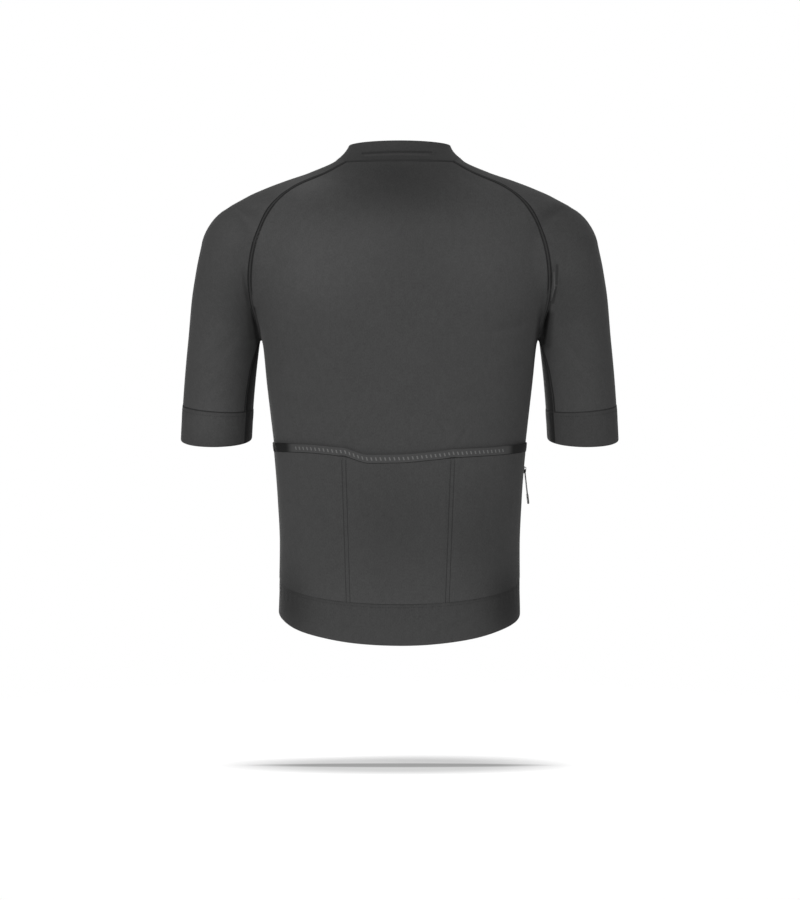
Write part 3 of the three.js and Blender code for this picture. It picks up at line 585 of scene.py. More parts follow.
def overload(symbol, operation):  # gives the class an operator and its reflected form
    setattr(Wire, f"__{symbol}__", lambda wire, other: wire.maths(operation, wire, other))
    setattr(Wire, f"__r{symbol}__", lambda wire, other: wire.maths(operation, other, wire))


for operator in (("add", "ADD"), ("sub", "SUBTRACT"), ("mul", "MULTIPLY"), ("truediv", "DIVIDE")):
    overload(*operator)


def grey(tone):
    return (tone, tone, tone, 1)


def newFinish(name):
    material = bpy.data.materials.new(name)
    material.use_nodes = True
    return material, Wire(material.node_tree)


def finished(material, values):
    for name, value in values.items():
        plug(material.node_tree.nodes["Principled BSDF"], name, value)
    return material


def objectPlace(wire):
    return wire.node("ShaderNodeTexCoord", out=3)


def parts(wire, place, count):
    return [wire.node("ShaderNodeSeparateXYZ", None, {0: place}, out) for out in range(count)]


def clothPlace(wire):
    place = wire.node("ShaderNodeUVMap", {"uv_map": "clothMap"})
    return place, *parts(wire, place, 2)


def paintedLineShading(wire, lines):  # soft darker or lighter lines across the back, seen square on: painted shade and painted highlights of folds, and darker pocket seam lines
    x, y, z = parts(wire, objectPlace(wire), 3)
    behind = y > -0.02
    shade = 1.0
    for (startX, startZ), (endX, endZ), half, amount in lines:
        length = math.hypot(endX - startX, endZ - startZ)
        wayX, wayZ = (endX - startX) / length, (endZ - startZ) / length
        fromX, fromZ = x - startX * mm, z - startZ * mm
        along = fromX * wayX + fromZ * wayZ
        past = wire.maths("MAXIMUM", (along - length / 2 * mm).absolute() - length / 2 * mm, 0.0)
        off = fromX * wayZ - fromZ * wayX
        gap = wire.maths("SQRT", off * off + past * past)
        shade = shade + gap.ranged(half * 0.3 * mm, half * 1.5 * mm, amount, 0.0) * behind
    return shade


knitLook = {
    "tone": 0.0535, "mottle": 0.05, "heather": 0.34, "wale": 0.9, "course": 0.7, "roughness": 0.84, "sheen": 0.06,
    "sheenRoughness": 0.5, "bump": 0.35, "shine": 0.06,
}


def knitFinish(name, look):
    material, wire = newFinish(name)
    place, across, down = clothPlace(wire)
    fine = wire.vector("MULTIPLY", {0: place, 1: (1, 0.55, 1)})
    speckle, clouds, yarn = fine.noise(620, 3, 0.7), place.noise(26, 4, 0.6), fine.noise(150)
    share = (speckle - 0.5) * look["heather"] * 3 + (clouds - 0.5) * look["mottle"] * 6 + (yarn - 0.5) * 0.35 + 0.5
    heathered = share.blend(grey(look["tone"] * 0.72), grey(look["tone"] * 1.28))
    # Painted light and shade scales the knit's colour
    paintedShading = wire.node("ShaderNodeAttribute", {"attribute_name": "paintedShading"}, out=2)
    if "lines" in look:
        paintedShading = paintedShading * paintedLineShading(wire, look["lines"])
    wales = across.wave(look["wale"]).absolute()
    height = wales * 0.6 + down.wave(look["course"], wales * 1.6) * 0.35 + speckle * 0.6
    return finished(material, {
        "Base Color": wire.vector("SCALE", {0: heathered, "Scale": paintedShading}), "Normal": height.bump(look["bump"], 0.12),
        "Roughness": look["roughness"] + (clouds - 0.5) * 0.16, "Sheen Weight": look["sheen"],
        "Sheen Roughness": look["sheenRoughness"], "Specular IOR Level": look["shine"],
    })


# Painted shade and painted highlights of fine folds too sharp for the cloth's rows, and darker lines along the
# pocket seams: from x, z to x, z, half width, how much lighter (or darker)
paintedShadeLines = {
    "armpits": [
        ((-209.3, -146), (-208.8, -170), 1.8, -0.35), ((-208.2, -175), (-205, -195), 1.8, -0.35),
        ((-205.2, -155), (-206.3, -176), 0.9, 0.5), ((-206.3, -176), (-202, -192), 0.9, 0.4),
        ((-200, -190), (-193, -248), 3.6, -0.6), ((-199, -212), (-197, -250), 7, -0.4),
        ((-191, -256), (-197, -332), 4.5, -0.6), ((201, -182), (198, -240), 5, -0.22),
        ((196.5, -203), (190.5, -250), 3.4, -0.7),
    ],
    "pockets": [
        ((76.5, -404), (70.1, -590), 0.5, -0.32), ((71.3, -404), (65.1, -590), 0.5, -0.32),
        ((-72.5, -404), (-64.9, -590), 0.5, -0.32), ((-67.5, -404), (-59.9, -590), 0.5, -0.32),
    ],
    "collar": [((50, 4.2), (-42, 5.4), 1.5, -0.3), ((46, 0.8), (-38, 1.8), 1.4, 0.18)],
}
bandKnitLook = {**knitLook, "tone": 0.047, "wale": 0.7, "course": 0.6, "mottle": 0.04}
knit = knitFinish("charcoalKnit", {**knitLook, "lines": paintedShadeLines["armpits"]})
pocketKnit = knitFinish("pocketKnit", {**knitLook, "lines": paintedShadeLines["pockets"]})
foldedKnit = knitFinish("foldedKnit", bandKnitLook)
collarKnit = knitFinish("collarKnit", {**bandKnitLook, "tone": 0.0475, "lines": paintedShadeLines["collar"]})

elasticLook = {
    "tone": 0.055, "dashTone": 0.14, "dashPitch": 6, "dashWidth": 1.8, "dashHeight": 4.2, "dashMiddle": 6,
    "dashLean": 0.3, "printedHalf": 146, "endTone": 0.012, "endFrom": 150, "endTo": 164, "rib": 0.8,
    "edgeLine": 0.9, "topLine": 0.35, "footLine": 0.8,
}


def elasticFinish(look):
    material, wire = newFinish("pocketElastic")
    place, across, down = clothPlace(wire)
    grain = place.noise(900, 3)
    offMiddle = down - look["dashMiddle"] * mm
    period = (across + offMiddle * look["dashLean"]) / (look["dashPitch"] * mm) + 100.0
    within = wire.maths("FRACT", period) < look["dashWidth"] / look["dashPitch"]
    high = offMiddle.absolute() < look["dashHeight"] / 2 * mm
    printed = across.absolute() < look["printedHalf"] * mm
    dash = within * high * printed * (grain * 0.5 + 0.55)
    topLine = (down < look["edgeLine"] * mm) * look["topLine"]
    footLine = (down > (cut["elasticHeight"] - look["edgeLine"]) * mm) * look["footLine"]
    plainEnd = across.absolute().ranged(look["endFrom"] * mm, look["endTo"] * mm)
    base = ((1 - topLine - footLine) * (0.65 + grain * 0.7)).blend(grey(look["tone"] * 0.2), grey(look["tone"]))
    return finished(material, {
        "Base Color": plainEnd.blend(dash.blend(base, grey(look["dashTone"])), grey(look["endTone"])),
        "Normal": (across.wave(look["rib"]) * 0.5 + grain).bump(0.5, 0.15),
        "Roughness": 0.75, "Specular IOR Level": 0.15,
    })


needleOff = 1.9  # how far a cover seam's needle lines lie from its middle, in millimetres


def seamFinish(name, dark, light):  # cover seam: two sunk needle lines with looped thread between them
    material, wire = newFinish(name)
    place, along, across = clothPlace(wire)
    grain = place.noise(1100)
    groove = 1 - (across.absolute() - needleOff * mm).absolute().ranged(0.3 * mm, 1.2 * mm, kind="LINEAR")
    threads = along.wave(1.1, across * 900.0) * 0.5 + 0.5
    # The sunk needle lines are painted darker, as painted shade in their grooves
    share = (1 - groove * 0.85) * (0.55 + grain * 0.5 + threads * 0.2)
    return finished(material, {
        "Base Color": share.blend(grey(dark), grey(light)),
        "Normal": (threads * 0.7 + grain * 0.4 - groove).bump(0.6, 0.25),
        "Roughness": 0.85, "Specular IOR Level": 0.08,
    })


def plainFinish(name, tone, roughness, grainScale, uneven=0.15, metal=0.0, coat=0.0, shine=0.4):
    material, wire = newFinish(name)
    grain = objectPlace(wire).noise(grainScale, 3)
    return finished(material, {
        "Base Color": grain.blend(grey(tone * (1 - uneven)), grey(tone * (1 + uneven))),
        "Roughness": roughness + (grain - 0.5) * 0.2, "Normal": grain.bump(0.25, 0.05),
        "Metallic": metal, "Coat Weight": coat, "Specular IOR Level": shine,
    })


pocketElastic = elasticFinish(elasticLook)
coverSeam = seamFinish("coverSeam", 0.011, 0.042)
bandSeam = seamFinish("bandSeam", 0.012, 0.036)
thread = plainFinish("seamThread", 0.026, 0.8, 2500, uneven=0.3, shine=0.1)
zipTape = plainFinish("zipTape", 0.017, 0.8, 1600, uneven=0.3)
zipTeeth = plainFinish("zipTeeth", 0.02, 0.35, 400, coat=0.2)
sliderMetal = plainFinish("sliderMetal", 0.03, 0.32, 900, metal=0.85, coat=0.1)
softPull = plainFinish("softPull", 0.075, 0.55, 1200)


# Cloth walls: outer face, inner face and rims, as one closed mesh
def surfaceMap(grid, level=False):  # level panels keep their knit courses at even heights
    middle = grid.shape[1] // 2
    across, down = arcs(grid.swapaxes(0, 1)).T, arcs(grid)
    if level:
        line, z = grid[:, middle], grid[..., 2]
        beyond = np.maximum(z - line[0, 2], 0) + np.minimum(z - line[-1, 2], 0)
        down = np.interp(-z, -line[:, 2], arcs(line)) - beyond
    return np.stack([across - across[:, [middle]], down], -1)


def foldRows(start, end, away, steps=4):  # half round from one face over to the other
    middle, half = (start + end) / 2, (start - end) / 2
    out = unit(away) * np.linalg.norm(half, axis=-1, keepdims=True)
    turns = [math.pi * step / steps for step in range(1, steps)]
    return [middle + half * math.cos(turn) + out * math.sin(turn) for turn in turns]


paintedShadePatches = {  # painted light and shade in the knit's colour, as lighter or darker patches: x, z, half width, half height, amount
    "back": [
        (110, -141, 62, 58, 0.23), (-113, -141, 55, 55, 0.12), (0, -22, 100, 34, -0.38), (31, -118, 26, 46, 0.06),
        (0, -62, 120, 26, -0.18), (150, -598, 30, 46, -0.44), (-150, -598, 34, 50, -0.58),
        (-164, -370, 24, 110, -0.14), (10, -490, 70, 80, -0.17), (-110, -500, 50, 70, -0.18),
        (120, -490, 50, 80, -0.05), (-262, -260, 50, 110, -0.05), (262, -260, 60, 120, 0.1),
        (215, -95, 60, 36, 0.22), (-215, -95, 60, 36, 0.06), (262, -358, 50, 26, 0.2), (130, -33, 45, 22, 0.5),
        (-115, -34, 40, 18, 0.14), (-232, -92, 45, 40, -0.22), (238, -95, 38, 35, -0.14),
        (-228, -190, 40, 40, -0.12), (225, -190, 40, 40, -0.1),
    ],
    "front": [(100, -150, 60, 60, 0.1), (-105, -160, 60, 60, 0.06), (-60, -420, 70, 60, -0.05)],
}
paintedShadeTurn = 9  # how softly the patches of one face give way to the other's at the sides
armpitShade = (11, 0.6)  # how far the dark at the top of the armpit reaches, and how dark it is


# Painted light and shade: the patches, and the painted shade at the top of each armpit
def paintedShadingAt(points):
    x, y, z = points.T
    tone = np.ones(len(points))
    for face, side in facings:
        facing = 1 / (1 + np.exp(-side * y / paintedShadeTurn))
        for patchX, patchZ, wide, high, amount in paintedShadePatches[face]:
            tone += amount * facing * np.exp(-((x - patchX) / wide) ** 2 - ((z - patchZ) / high) ** 2)
    reach, depth = armpitShade
    near = np.linalg.norm(at(np.abs(x), y, z) - armpit, axis=-1) / reach
    return tone * (1 - depth * np.exp(-near ** 2))


def addObject(name, data):
    made = bpy.data.objects.new(name, data)
    bpy.context.scene.collection.objects.link(made)
    return made


def newPiece(name, points, faces, places, material, shading=None):  # places: across, down and light
    mesh = bpy.data.meshes.new(name)
    mesh.from_pydata((points * mm).tolist(), [], faces)
    # The painted light and shade, with the underarm's painted shade, goes to the knit's colour as an attribute
    mesh.attributes.new("paintedShading", "FLOAT", "POINT").data.foreach_set("value", paintedShadingAt(points) * places[:, 2])
    corners = np.empty(len(mesh.loops), int)
    mesh.loops.foreach_get("vertex_index", corners)
    mesh.uv_layers.new(name="clothMap").data.foreach_set("uv", (places[corners, :2] * mm).ravel())
    work = bmesh.new()
    work.from_mesh(mesh)
    bmesh.ops.remove_doubles(work, verts=work.verts, dist=2e-6)
    bmesh.ops.recalc_face_normals(work, faces=work.faces)
    work.to_mesh(mesh)
    work.free()
    mesh.polygons.foreach_set("use_smooth", [True] * len(mesh.polygons))
    if shading is None:
        mesh.set_sharp_from_angle(angle=math.radians(48))
    else:
        tree = KDTree(len(points))
        for i, point in enumerate(points * mm):
            tree.insert(point, i)
        tree.balance()
        nearest = [tree.find(vertex.co)[1] for vertex in mesh.vertices]
        mesh.normals_split_custom_set_from_vertices(shading[nearest].tolist())
    mesh.materials.append(material)
    piece = addObject(name, mesh)
    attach(piece, hollowBody)
    return piece


def clothWall(name, node, grid, normals, settings, material):
    outer = grid + normals * settings.get("proud", 0)
    inner = outer - normals * settings["thickness"]
    light = settings.get("light", np.ones(grid.shape[:2]))
    places = np.dstack([surfaceMap(grid, settings.get("level", False)), light])
    rows, columns = grid.shape[:2]
    below = foldRows(outer[-1], inner[-1], outer[-1] - outer[-2]) if settings.get("foldBottom") else []
    above = foldRows(inner[0], outer[0], outer[0] - outer[1]) if settings.get("foldTop") else []
    ring = np.array([*outer, *below, *inner[::-1], *above])
    spots = np.array([*places, *[places[-1]] * len(below), *places[::-1], *[places[0]] * len(above)])
    count, foot = len(ring), rows + len(below)
    index = np.arange(count * columns).reshape(count, columns)
    nextRow = np.roll(index, -1, 0)
    faces = np.stack([index[:, :-1], index[:, 1:], nextRow[:, 1:], nextRow[:, :-1]], -1).reshape(-1, 4).tolist()
    openEnd = np.linalg.norm(grid[:, 0] - grid[:, -1], axis=-1) > 0.01
    caps = [
        [row, row + 1, foot + rows - 2 - row, foot + rows - 1 - row]
        for row in range(rows - 1) if openEnd[row] or openEnd[row + 1]
    ]
    if below and openEnd[-1]:
        caps.append(list(range(foot, rows - 2, -1)))
    if above and openEnd[0]:
        caps.append([i % count for i in range(count, foot + rows - 2, -1)])
    for column, turn in ((0, 1), (-1, -1)):
        faces += [index[cap, column].tolist()[::turn] for cap in caps]
    shading = settings.get("shading")
    if shading is not None:
        shading = np.concatenate([shading, -shading[::-1]]).reshape(-1, 3)
    piece = newPiece(name, ring.reshape(-1, 3), faces, spots.reshape(-1, 3), material, shading)
    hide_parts(node)
    settings.get("area")


allEdges = ("top", "bottom", "start", "end")


def pulledIn(grid, edges=allEdges, amount=0.15):  # keeps a hair's gap at the named edges
    moved = grid.copy()
    for name in edges:
        edge, beside = {
            "top": (moved[0], grid[1]), "bottom": (moved[-1], grid[-2]),
            "start": (moved[:, 0], grid[:, 1]), "end": (moved[:, -1], grid[:, -2]),
        }[name]
        edge += unit(beside - edge) * amount
    return moved


def leftAndRight(grid):
    return (("left", grid), ("right", mirrored(grid)))


backPiece = {"thickness": 1.2, "level": True, "flat": (0.44, 0.63), "area": 0.25}
frontPiece = {"thickness": 1.2, "level": True, "flat": (0.23, 0.57), "area": 0.105}
sleevePiece = {
    "thickness": 1.2, "flat": (0.43, 0.40), "area": 0.112, "shadedColumns": 8, "shadedRows": 8, "shade": 0.75,
}


def underarmShade(rows, first):  # the light left beyond the underarm seam, in the shade of the trunk
    fromSeam = np.arange(fineness["sleeveColumns"] + 1)[::-1] / sleevePiece["shadedColumns"]
    below = np.clip((np.arange(rows) - first) / sleevePiece["shadedRows"], 0, 1)[:, None]
    light = 1 - sleevePiece["shade"] * below * np.exp(-fromSeam ** 4)
    light[:, -1] = 1
    return light


def makePanels():
    grid, normals = clothOn(pulledIn(backGrid))
    look = {**backPiece, "shading": trueNormals(grid)}
    clothWall("backPanel", "back_panel", grid, normals, look, knit)
    for (name, front), (_, sleeve) in zip(leftAndRight(frontGrid), leftAndRight(sleeveGrid)):
        grid, normals = clothOn(pulledIn(front, ("top", "bottom", "end")))
        look = {**frontPiece, "shading": trueNormals(grid)}
        clothWall(name + "Front", "front_" + name, grid, normals, look, knit)
        tucked = pulledIn(sleeve, ("top", "bottom"))
        upper = pulledIn(tucked[:rowCount], ("start", "end"))
        grid, normals = clothOn(np.concatenate([upper, tucked[rowCount:]]))
        light = underarmShade(len(grid), rowCount - 2)
        look = {**sleevePiece, "shading": trueNormals(grid), "light": light}
        clothWall(name + "Sleeve", "sleeve_" + name, grid, normals, look, knit)


makePanels()
print("panels and sleeves sewn")

cuffPiece = {
    "thickness": 1.8, "proud": 0.5, "foldBottom": True, "flat": (0.31, 0.047), "pucker": 0.22, "puckerPitch": 9,
    "wave": 0, "wavePitch": 83,
}
hemPiece = {**cuffPiece, "flat": (0.84, 0.055), "pucker": 0.3, "puckerPitch": 12, "wave": 0.6}


def puckered(grid, normals, look):  # small gathers below the seam that fade out down the band
    reach = surfaceMap(grid)[..., 0]
    down = np.linspace(0, 1, len(grid))[:, None]
    fine = np.sin(reach * 2 * math.pi / look["puckerPitch"] + 1.7 * np.sin(reach / 23))
    gathers = look["pucker"] * fine * np.sin(math.pi * np.clip(down * 2.4, 0, 1))
    wave = look["wave"] * np.sin(reach * 2 * math.pi / look["wavePitch"]) * down ** 2
    return grid + normals * (gathers + wave)[..., None]


def makeBands():
    for name, placed in leftAndRight(cuffGrid):
        grid, normals = clothOn(pulledIn(placed, ("top",)))
        grid = puckered(grid, normals, cuffPiece)
        grid[:, -1] = grid[:, 0]
        look = {**cuffPiece, "light": underarmShade(len(grid), -sleevePiece["shadedRows"])}
        clothWall(name + "Cuff", "cuff_" + name, grid, normals, look, foldedKnit)
    grid, normals = clothOn(pulledIn(hemGrid, ("top",)))
    grid = puckered(grid, normals, hemPiece)
    clothWall("hemBand", "hem_band", grid, normals, hemPiece, foldedKnit)


makeBands()

collarPiece = {
    "thickness": 2, "foldTop": True, "flat": (0.43, 0.055), "area": 0.0155,
    "halfWidth": 69, "back": 57, "front": 56, "side": 18.5, "tilt": 1, "backRise": 0.5, "frontFall": 41.5,
    "inward": 0.75, "upward": 0.45, "sag": 0.5,
    "creaseUp": 0.42, "creaseHeight": 0.13, "creaseDepth": 1.7, "creaseFrom": -58, "creaseTo": 66, "creaseEnd": 25,
}


def collarTop(foot):
    look = collarPiece
    x, y = foot[..., 0], foot[..., 1]
    angle = np.arctan2(y, x)
    rise = np.sin(angle)
    bend = np.where(rise > 0, look["backRise"], -look["frontFall"])
    depth = np.where(y > 0, look["back"], look["front"])
    atOpening = (y < 0) & (np.abs(x) < cut["frontEdgeX"] + 1)
    topX = np.where(atOpening, x, look["halfWidth"] * np.cos(angle))
    return at(topX, depth * rise, look["side"] + look["tilt"] * rise + bend * rise ** 2)


def collarAt(foot, up):  # the stand leans in as it rises
    inward, upward = (2 * up * (1 - up) * collarPiece[name] + up * up for name in ("inward", "upward"))
    return lerp(foot, collarTop(foot), at(inward, inward, upward))


def gridNormals(grid):
    normals = unit(np.cross(np.gradient(grid, axis=0), np.gradient(grid, axis=1)))
    return normals * np.sign((normals[..., :2] * grid[..., :2]).sum())


def makeCollar():
    look = collarPiece
    up = np.linspace(1, 0, fineness["collarRows"] + 1)[:, None]
    grid = collarAt(neckEdge[None], up)
    normals = gridNormals(grid)
    normals[-1] = unit(normals[-1] + outward(neckEdge))
    x, y = grid[..., 0], grid[..., 1]
    fromEnd = np.clip((x - look["creaseFrom"]) / look["creaseEnd"], 0, 1)
    within = fromEnd * np.clip((look["creaseTo"] - x) / look["creaseEnd"], 0, 1)
    behind = np.clip(y / 30, 0, 1)
    spread = ((up - look["creaseUp"] - 0.00045 * x) / look["creaseHeight"]) ** 2
    lift = -look["creaseDepth"] * within * behind * (1 - 0.8 * spread) * np.exp(-spread)
    sag = look["sag"] * np.sin(np.arctan2(y, x) * 5 + 0.7) * np.sin(math.pi * up) * (1 - behind * 0.6)
    grid = pulledIn(grid, ("bottom",)) + normals * (lift + sag)[..., None]
    clothWall("standCollar", "collar", grid, normals, look, collarKnit)


makeCollar()
print("collar, cuffs and hem band sewn on")

pocketPiece = {
    "thickness": 1.1, "proud": 1.5, "level": True, "flat": (0.405, 0.19), "area": 0.0765,
    "seams": ((73, 67.6), (-69, -62.4)), "seamPast": 30,  # x at the mouth, and this far below the hem seam
    "lineOff": 2.5, "seamDepth": 0.9, "seamWidth": 2.6, "bulge": 1.8,
}
elasticPiece = {
    "thickness": 2, "proud": 2.35, "flat": (0.395, 0.0125), "pull": 0.9, "pullWidth": 5, "bow": 0.3,
}


def pocketSeamX(seam, z):
    mouth = cut["pocketMouth"][4][1]
    return lerp(*seam, (z - mouth) / (cut["hemSeam"][0] - mouth - pocketPiece["seamPast"]))


def pocketLift(grid):  # three slack pockets, held down along the two lines of each seam between them
    look = pocketPiece
    x, z = grid[..., 0], grid[..., 2]
    down = np.linspace(0, 1, len(grid))[:, None]
    edge = np.abs(grid[:, :1, 0])
    left, right = (pocketSeamX(seam, z) for seam in look["seams"])
    lift = np.zeros(x.shape)
    for start, end in ((-edge, right), (right, left), (left, edge)):
        share = np.clip((x - start) / (end - start), 0, 1)
        lift += look["bulge"] * np.sin(math.pi * share) ** 0.7 * (share > 0) * (share < 1)
    lift *= np.sin(math.pi * np.clip(lerp(0.12, 1, down), 0, 1)) ** 0.6
    for line in (left - look["lineOff"], left + look["lineOff"], right - look["lineOff"], right + look["lineOff"]):
        lift -= look["seamDepth"] * np.exp(-((x - line) / (look["seamWidth"] / 2)) ** 2)
    return lift


def thinEnded(look, grid, over=40, least=0.5):  # the layer gets thinner and lies lower towards its two ends
    reach = arcs(grid[0])
    inward = np.clip(np.minimum(reach, reach[-1] - reach) / over, 0, 1)[None, :, None]
    thickness = look["thickness"] * lerp(least, 1, inward)
    return {**look, "thickness": thickness, "proud": thickness + look["proud"] - look["thickness"]}


def makePockets():
    grid, normals = clothOn(pulledIn(backGrid[mouthFoot:]))
    grid = grid + normals * pocketLift(grid)[..., None]
    clothWall("pocketPanel", "pocket_panel", grid, normals, thinEnded(pocketPiece, grid), pocketKnit)
    grid, normals = clothOn(pulledIn(backGrid[mouthTop:mouthFoot + 1]))
    for seam, _ in pocketPiece["seams"]:
        pulled = np.exp(-((grid[..., 0] - seam) / elasticPiece["pullWidth"]) ** 2)
        grid[..., 2] += elasticPiece["pull"] * pulled
    bow = np.sin(math.pi * np.linspace(0, 1, len(grid)))[:, None] * elasticPiece["bow"]
    grid = grid + normals * bow[..., None]
    clothWall("pocketElastic", "pocket_band", grid, normals, thinEnded(elasticPiece, grid), pocketElastic)


makePockets()
print("pockets and their elastic sewn on")


# Seam lines as paths on the cloth: points and the way out
def seamPath(points, lift=0.0):
    normals = outward(points)
    return points + normals * (clothLift(points) + lift)[:, None], normals


def bothSides(points, lift=0.0):
    return [seamPath(points, lift), seamPath(mirrored(points), lift)]


flatSeam = {  # across, height: the section of a pressed seam, in millimetres
    "wide": [(-3.4, -0.1), (-2.9, 0.3), (-2.4, 0.3), (-1.9, 0.05), (-1.3, 0.42), (0, 0.5), (1.3, 0.42),
             (1.9, 0.05), (2.4, 0.3), (2.9, 0.3), (3.4, -0.1)],
    "narrow": [(-1.5, -0.1), (-1.0, 0.22), (-0.4, 0.05), (0.4, 0.05), (1.0, 0.22), (1.5, -0.1)],
    "sunk": 0.5,
}


def seamStrips(name, paths, section, material=coverSeam, lift=0.0, hug=True):
    offsets, heights = np.array(section).T[..., None]
    points, faces, places, count = [], [], [], 0
    for line, normals in paths:
        closed = np.linalg.norm(line[0] - line[-1]) < 0.01
        tangents = unit(np.gradient(line, axis=0))
        if closed:
            tangents[0] = tangents[-1] = unit(line[1] - line[-2])
        out = normals[:, None]
        base = line[:, None] + unit(np.cross(normals, tangents))[:, None] * offsets
        if hug:
            base = ontoFigure(base)
            base = base + out * clothLift(base)[..., None]
        under = base - out * (flatSeam["sunk"] - lift)
        loop = np.concatenate([base + out * (heights + lift), under[:, ::-1]], 1)
        spots = at(arcs(line)[:, None], offsets.T, 1)
        rows, width = loop.shape[:2]
        index = np.arange(rows * width).reshape(rows, width) + count
        turn = np.roll(index, -1, 1)
        faces += np.stack([index[:-1], turn[:-1], turn[1:], index[1:]], -1).reshape(-1, 4).tolist()
        if not closed:
            corners = [[i, i + 1, width - 2 - i, width - 1 - i] for i in range(width // 2 - 1)]
            faces += [index[end, four].tolist() for end in (0, -1) for four in corners]
        points.append(loop.reshape(-1, 3))
        places.append(np.concatenate([spots, spots[:, ::-1]], 1).reshape(-1, 3))
        count += rows * width
    piece = newPiece(name, np.concatenate(points), faces, np.concatenate(places), material)


armpitTrim = 5  # rows that the raglan strips stop short of the armpit
raglanPaths = bothSides(backSeam[:-armpitTrim]) + bothSides(frontSeam[:-armpitTrim])
sidePaths = bothSides(sideSeam[rowCount + 2:])
underarmPaths = bothSides(sleeveGrid[rowCount + 2:, 0])
bandPaths = bothSides(cuffGrid[0]) + [seamPath(backGrid[0])] + bothSides(frontGrid[0]) + [seamPath(hemTop)]
seamStrips("raglanSeams", raglanPaths, flatSeam["wide"])
seamStrips("sideSeams", sidePaths, flatSeam["wide"])
seamStrips("underarmSeams", underarmPaths, flatSeam["wide"])
seamStrips("bandSeams", bandPaths, flatSeam["narrow"], bandSeam, lift=0.25, hug=False)
print("seams pressed")


# Geometry Nodes: a small rounded piece repeated along paths, square to the cloth
def repeatTree(name, look, material):
    tree = bpy.data.node_groups.new(name, "GeometryNodeTree")
    for way in ("INPUT", "OUTPUT"):
        tree.interface.new_socket("Geometry", in_out=way, socket_type="NodeSocketGeometry")
    node = Wire(tree).node
    line = node("GeometryNodeMeshToCurve", None, {0: node("NodeGroupInput")})
    evenLine = node("GeometryNodeResampleCurve", {"mode": "LENGTH"}, {"Curve": line, "Length": look["pitch"] * mm})
    ball = node("GeometryNodeMeshUVSphere", None, {"Segments": 6, "Rings": 4, "Radius": 0.5})
    shaped = node("GeometryNodeTransform", None, {"Geometry": ball, "Scale": [side * mm for side in look["size"]]})
    wayOut = node("GeometryNodeInputNamedAttribute", {"data_type": "FLOAT_VECTOR"}, {"Name": "wayOut"})
    turned = node("FunctionNodeAxesToRotation", {"primary_axis": "Z", "secondary_axis": "X"}, {
        0: wayOut, 1: node("GeometryNodeInputTangent")})
    lean = node("FunctionNodeEulerToRotation", None, {0: (0, 0, look["lean"])})
    leant = node("FunctionNodeRotateRotation", {"rotation_space": "LOCAL"}, {0: turned, 1: lean})
    scale = node("FunctionNodeRandomValue", {"data_type": "FLOAT"}, {
        2: 1 - look["uneven"], 3: 1.0, "Seed": look["seed"]}, 1)
    many = node("GeometryNodeInstanceOnPoints", None, {
        "Points": evenLine, "Instance": shaped, "Rotation": leant, "Scale": scale})
    smooth = node("GeometryNodeSetShadeSmooth", None, {0: node("GeometryNodeRealizeInstances", None, {0: many})})
    coloured = node("GeometryNodeSetMaterial", None, {"Geometry": smooth, "Material": material})
    plug(tree.nodes.new("NodeGroupOutput"), 0, coloured)
    return tree


def settleModifiers(piece):  # the finished mesh takes the place of the one under the modifiers
    shown = piece.evaluated_get(bpy.context.evaluated_depsgraph_get())
    piece.data = bpy.data.meshes.new_from_object(shown)
    piece.modifiers.clear()


def repeatAlong(name, paths, look, material):
    mesh = bpy.data.meshes.new(name)
    points, wayOut = (np.concatenate(part) for part in zip(*paths))
    starts = set(np.cumsum([len(line) for line, _ in paths]).tolist())
    edges = [(i, i + 1) for i in range(len(points) - 1) if i + 1 not in starts]
    mesh.from_pydata((points * mm).tolist(), edges, [])
    mesh.attributes.new("wayOut", "FLOAT_VECTOR", "POINT").data.foreach_set("vector", wayOut.ravel())
    piece = addObject(name, mesh)
    piece.modifiers.new("repeat", "NODES").node_group = repeatTree(name, look, material)
    settleModifiers(piece)
    if not piece.data.materials:
        piece.data.materials.append(material)
    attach(piece, hollowBody)


# In millimetres: size is length, width and height
needleStitch = {"pitch": 2.5, "size": (2.0, 0.42, 0.4), "lean": 0, "uneven": 0.15, "seed": 3}
coverThread = {"pitch": 1.25, "size": (0.4, 3.6, 0.34), "lean": 0.28, "uneven": 0.08, "seed": 5}
bandStitch = {"down": 4.2, "lift": 0.62, "cuffHeight": 42, "hemHeight": 52}


def besidePath(path, offset, lift):
    points, normals = path
    across = unit(np.cross(normals, unit(np.gradient(points, axis=0))))
    return points + across * offset + normals * lift, normals


def ringBelow(grid, height):  # the row of a band that its stitches follow
    row = (len(grid) - 1) * bandStitch["down"] / height
    return lerp(grid[int(row)], grid[int(row) + 1], row - int(row))


def pocketStitches():
    rows = []
    grid, normals = clothOn(backGrid[mouthFoot:])
    grid = grid + normals * (pocketLift(grid) + pocketPiece["proud"] + 0.12)[..., None]
    for seam in pocketPiece["seams"]:
        for shift in (-pocketPiece["lineOff"], pocketPiece["lineOff"]):
            line, ways = [], []
            for row, facing in zip(grid, normals):
                target = pocketSeamX(seam, row[:, 2].mean()) + shift
                line.append([np.interp(target, row[:, 0], column) for column in row.T])
                ways.append([np.interp(target, row[:, 0], column) for column in facing.T])
            rows.append((np.array(line), unit(np.array(ways))))
    return rows


wideSeams = raglanPaths + sidePaths + underarmPaths
needleRows = [besidePath(path, offset, 0.16) for path in wideSeams for offset in (-needleOff, needleOff)]
cuffRows = bothSides(ringBelow(cuffGrid, bandStitch["cuffHeight"]), bandStitch["lift"])
hemRow = seamPath(ringBelow(hemGrid, bandStitch["hemHeight"]), bandStitch["lift"])
repeatAlong("needleStitches", needleRows, needleStitch, thread)
repeatAlong("coverThreads", [besidePath(path, 0, 0.42) for path in wideSeams], coverThread, thread)
repeatAlong("bandStitches", [*cuffRows, hemRow], needleStitch, thread)
repeatAlong("pocketStitches", pocketStitches(), needleStitch, thread)
print("stitches run")

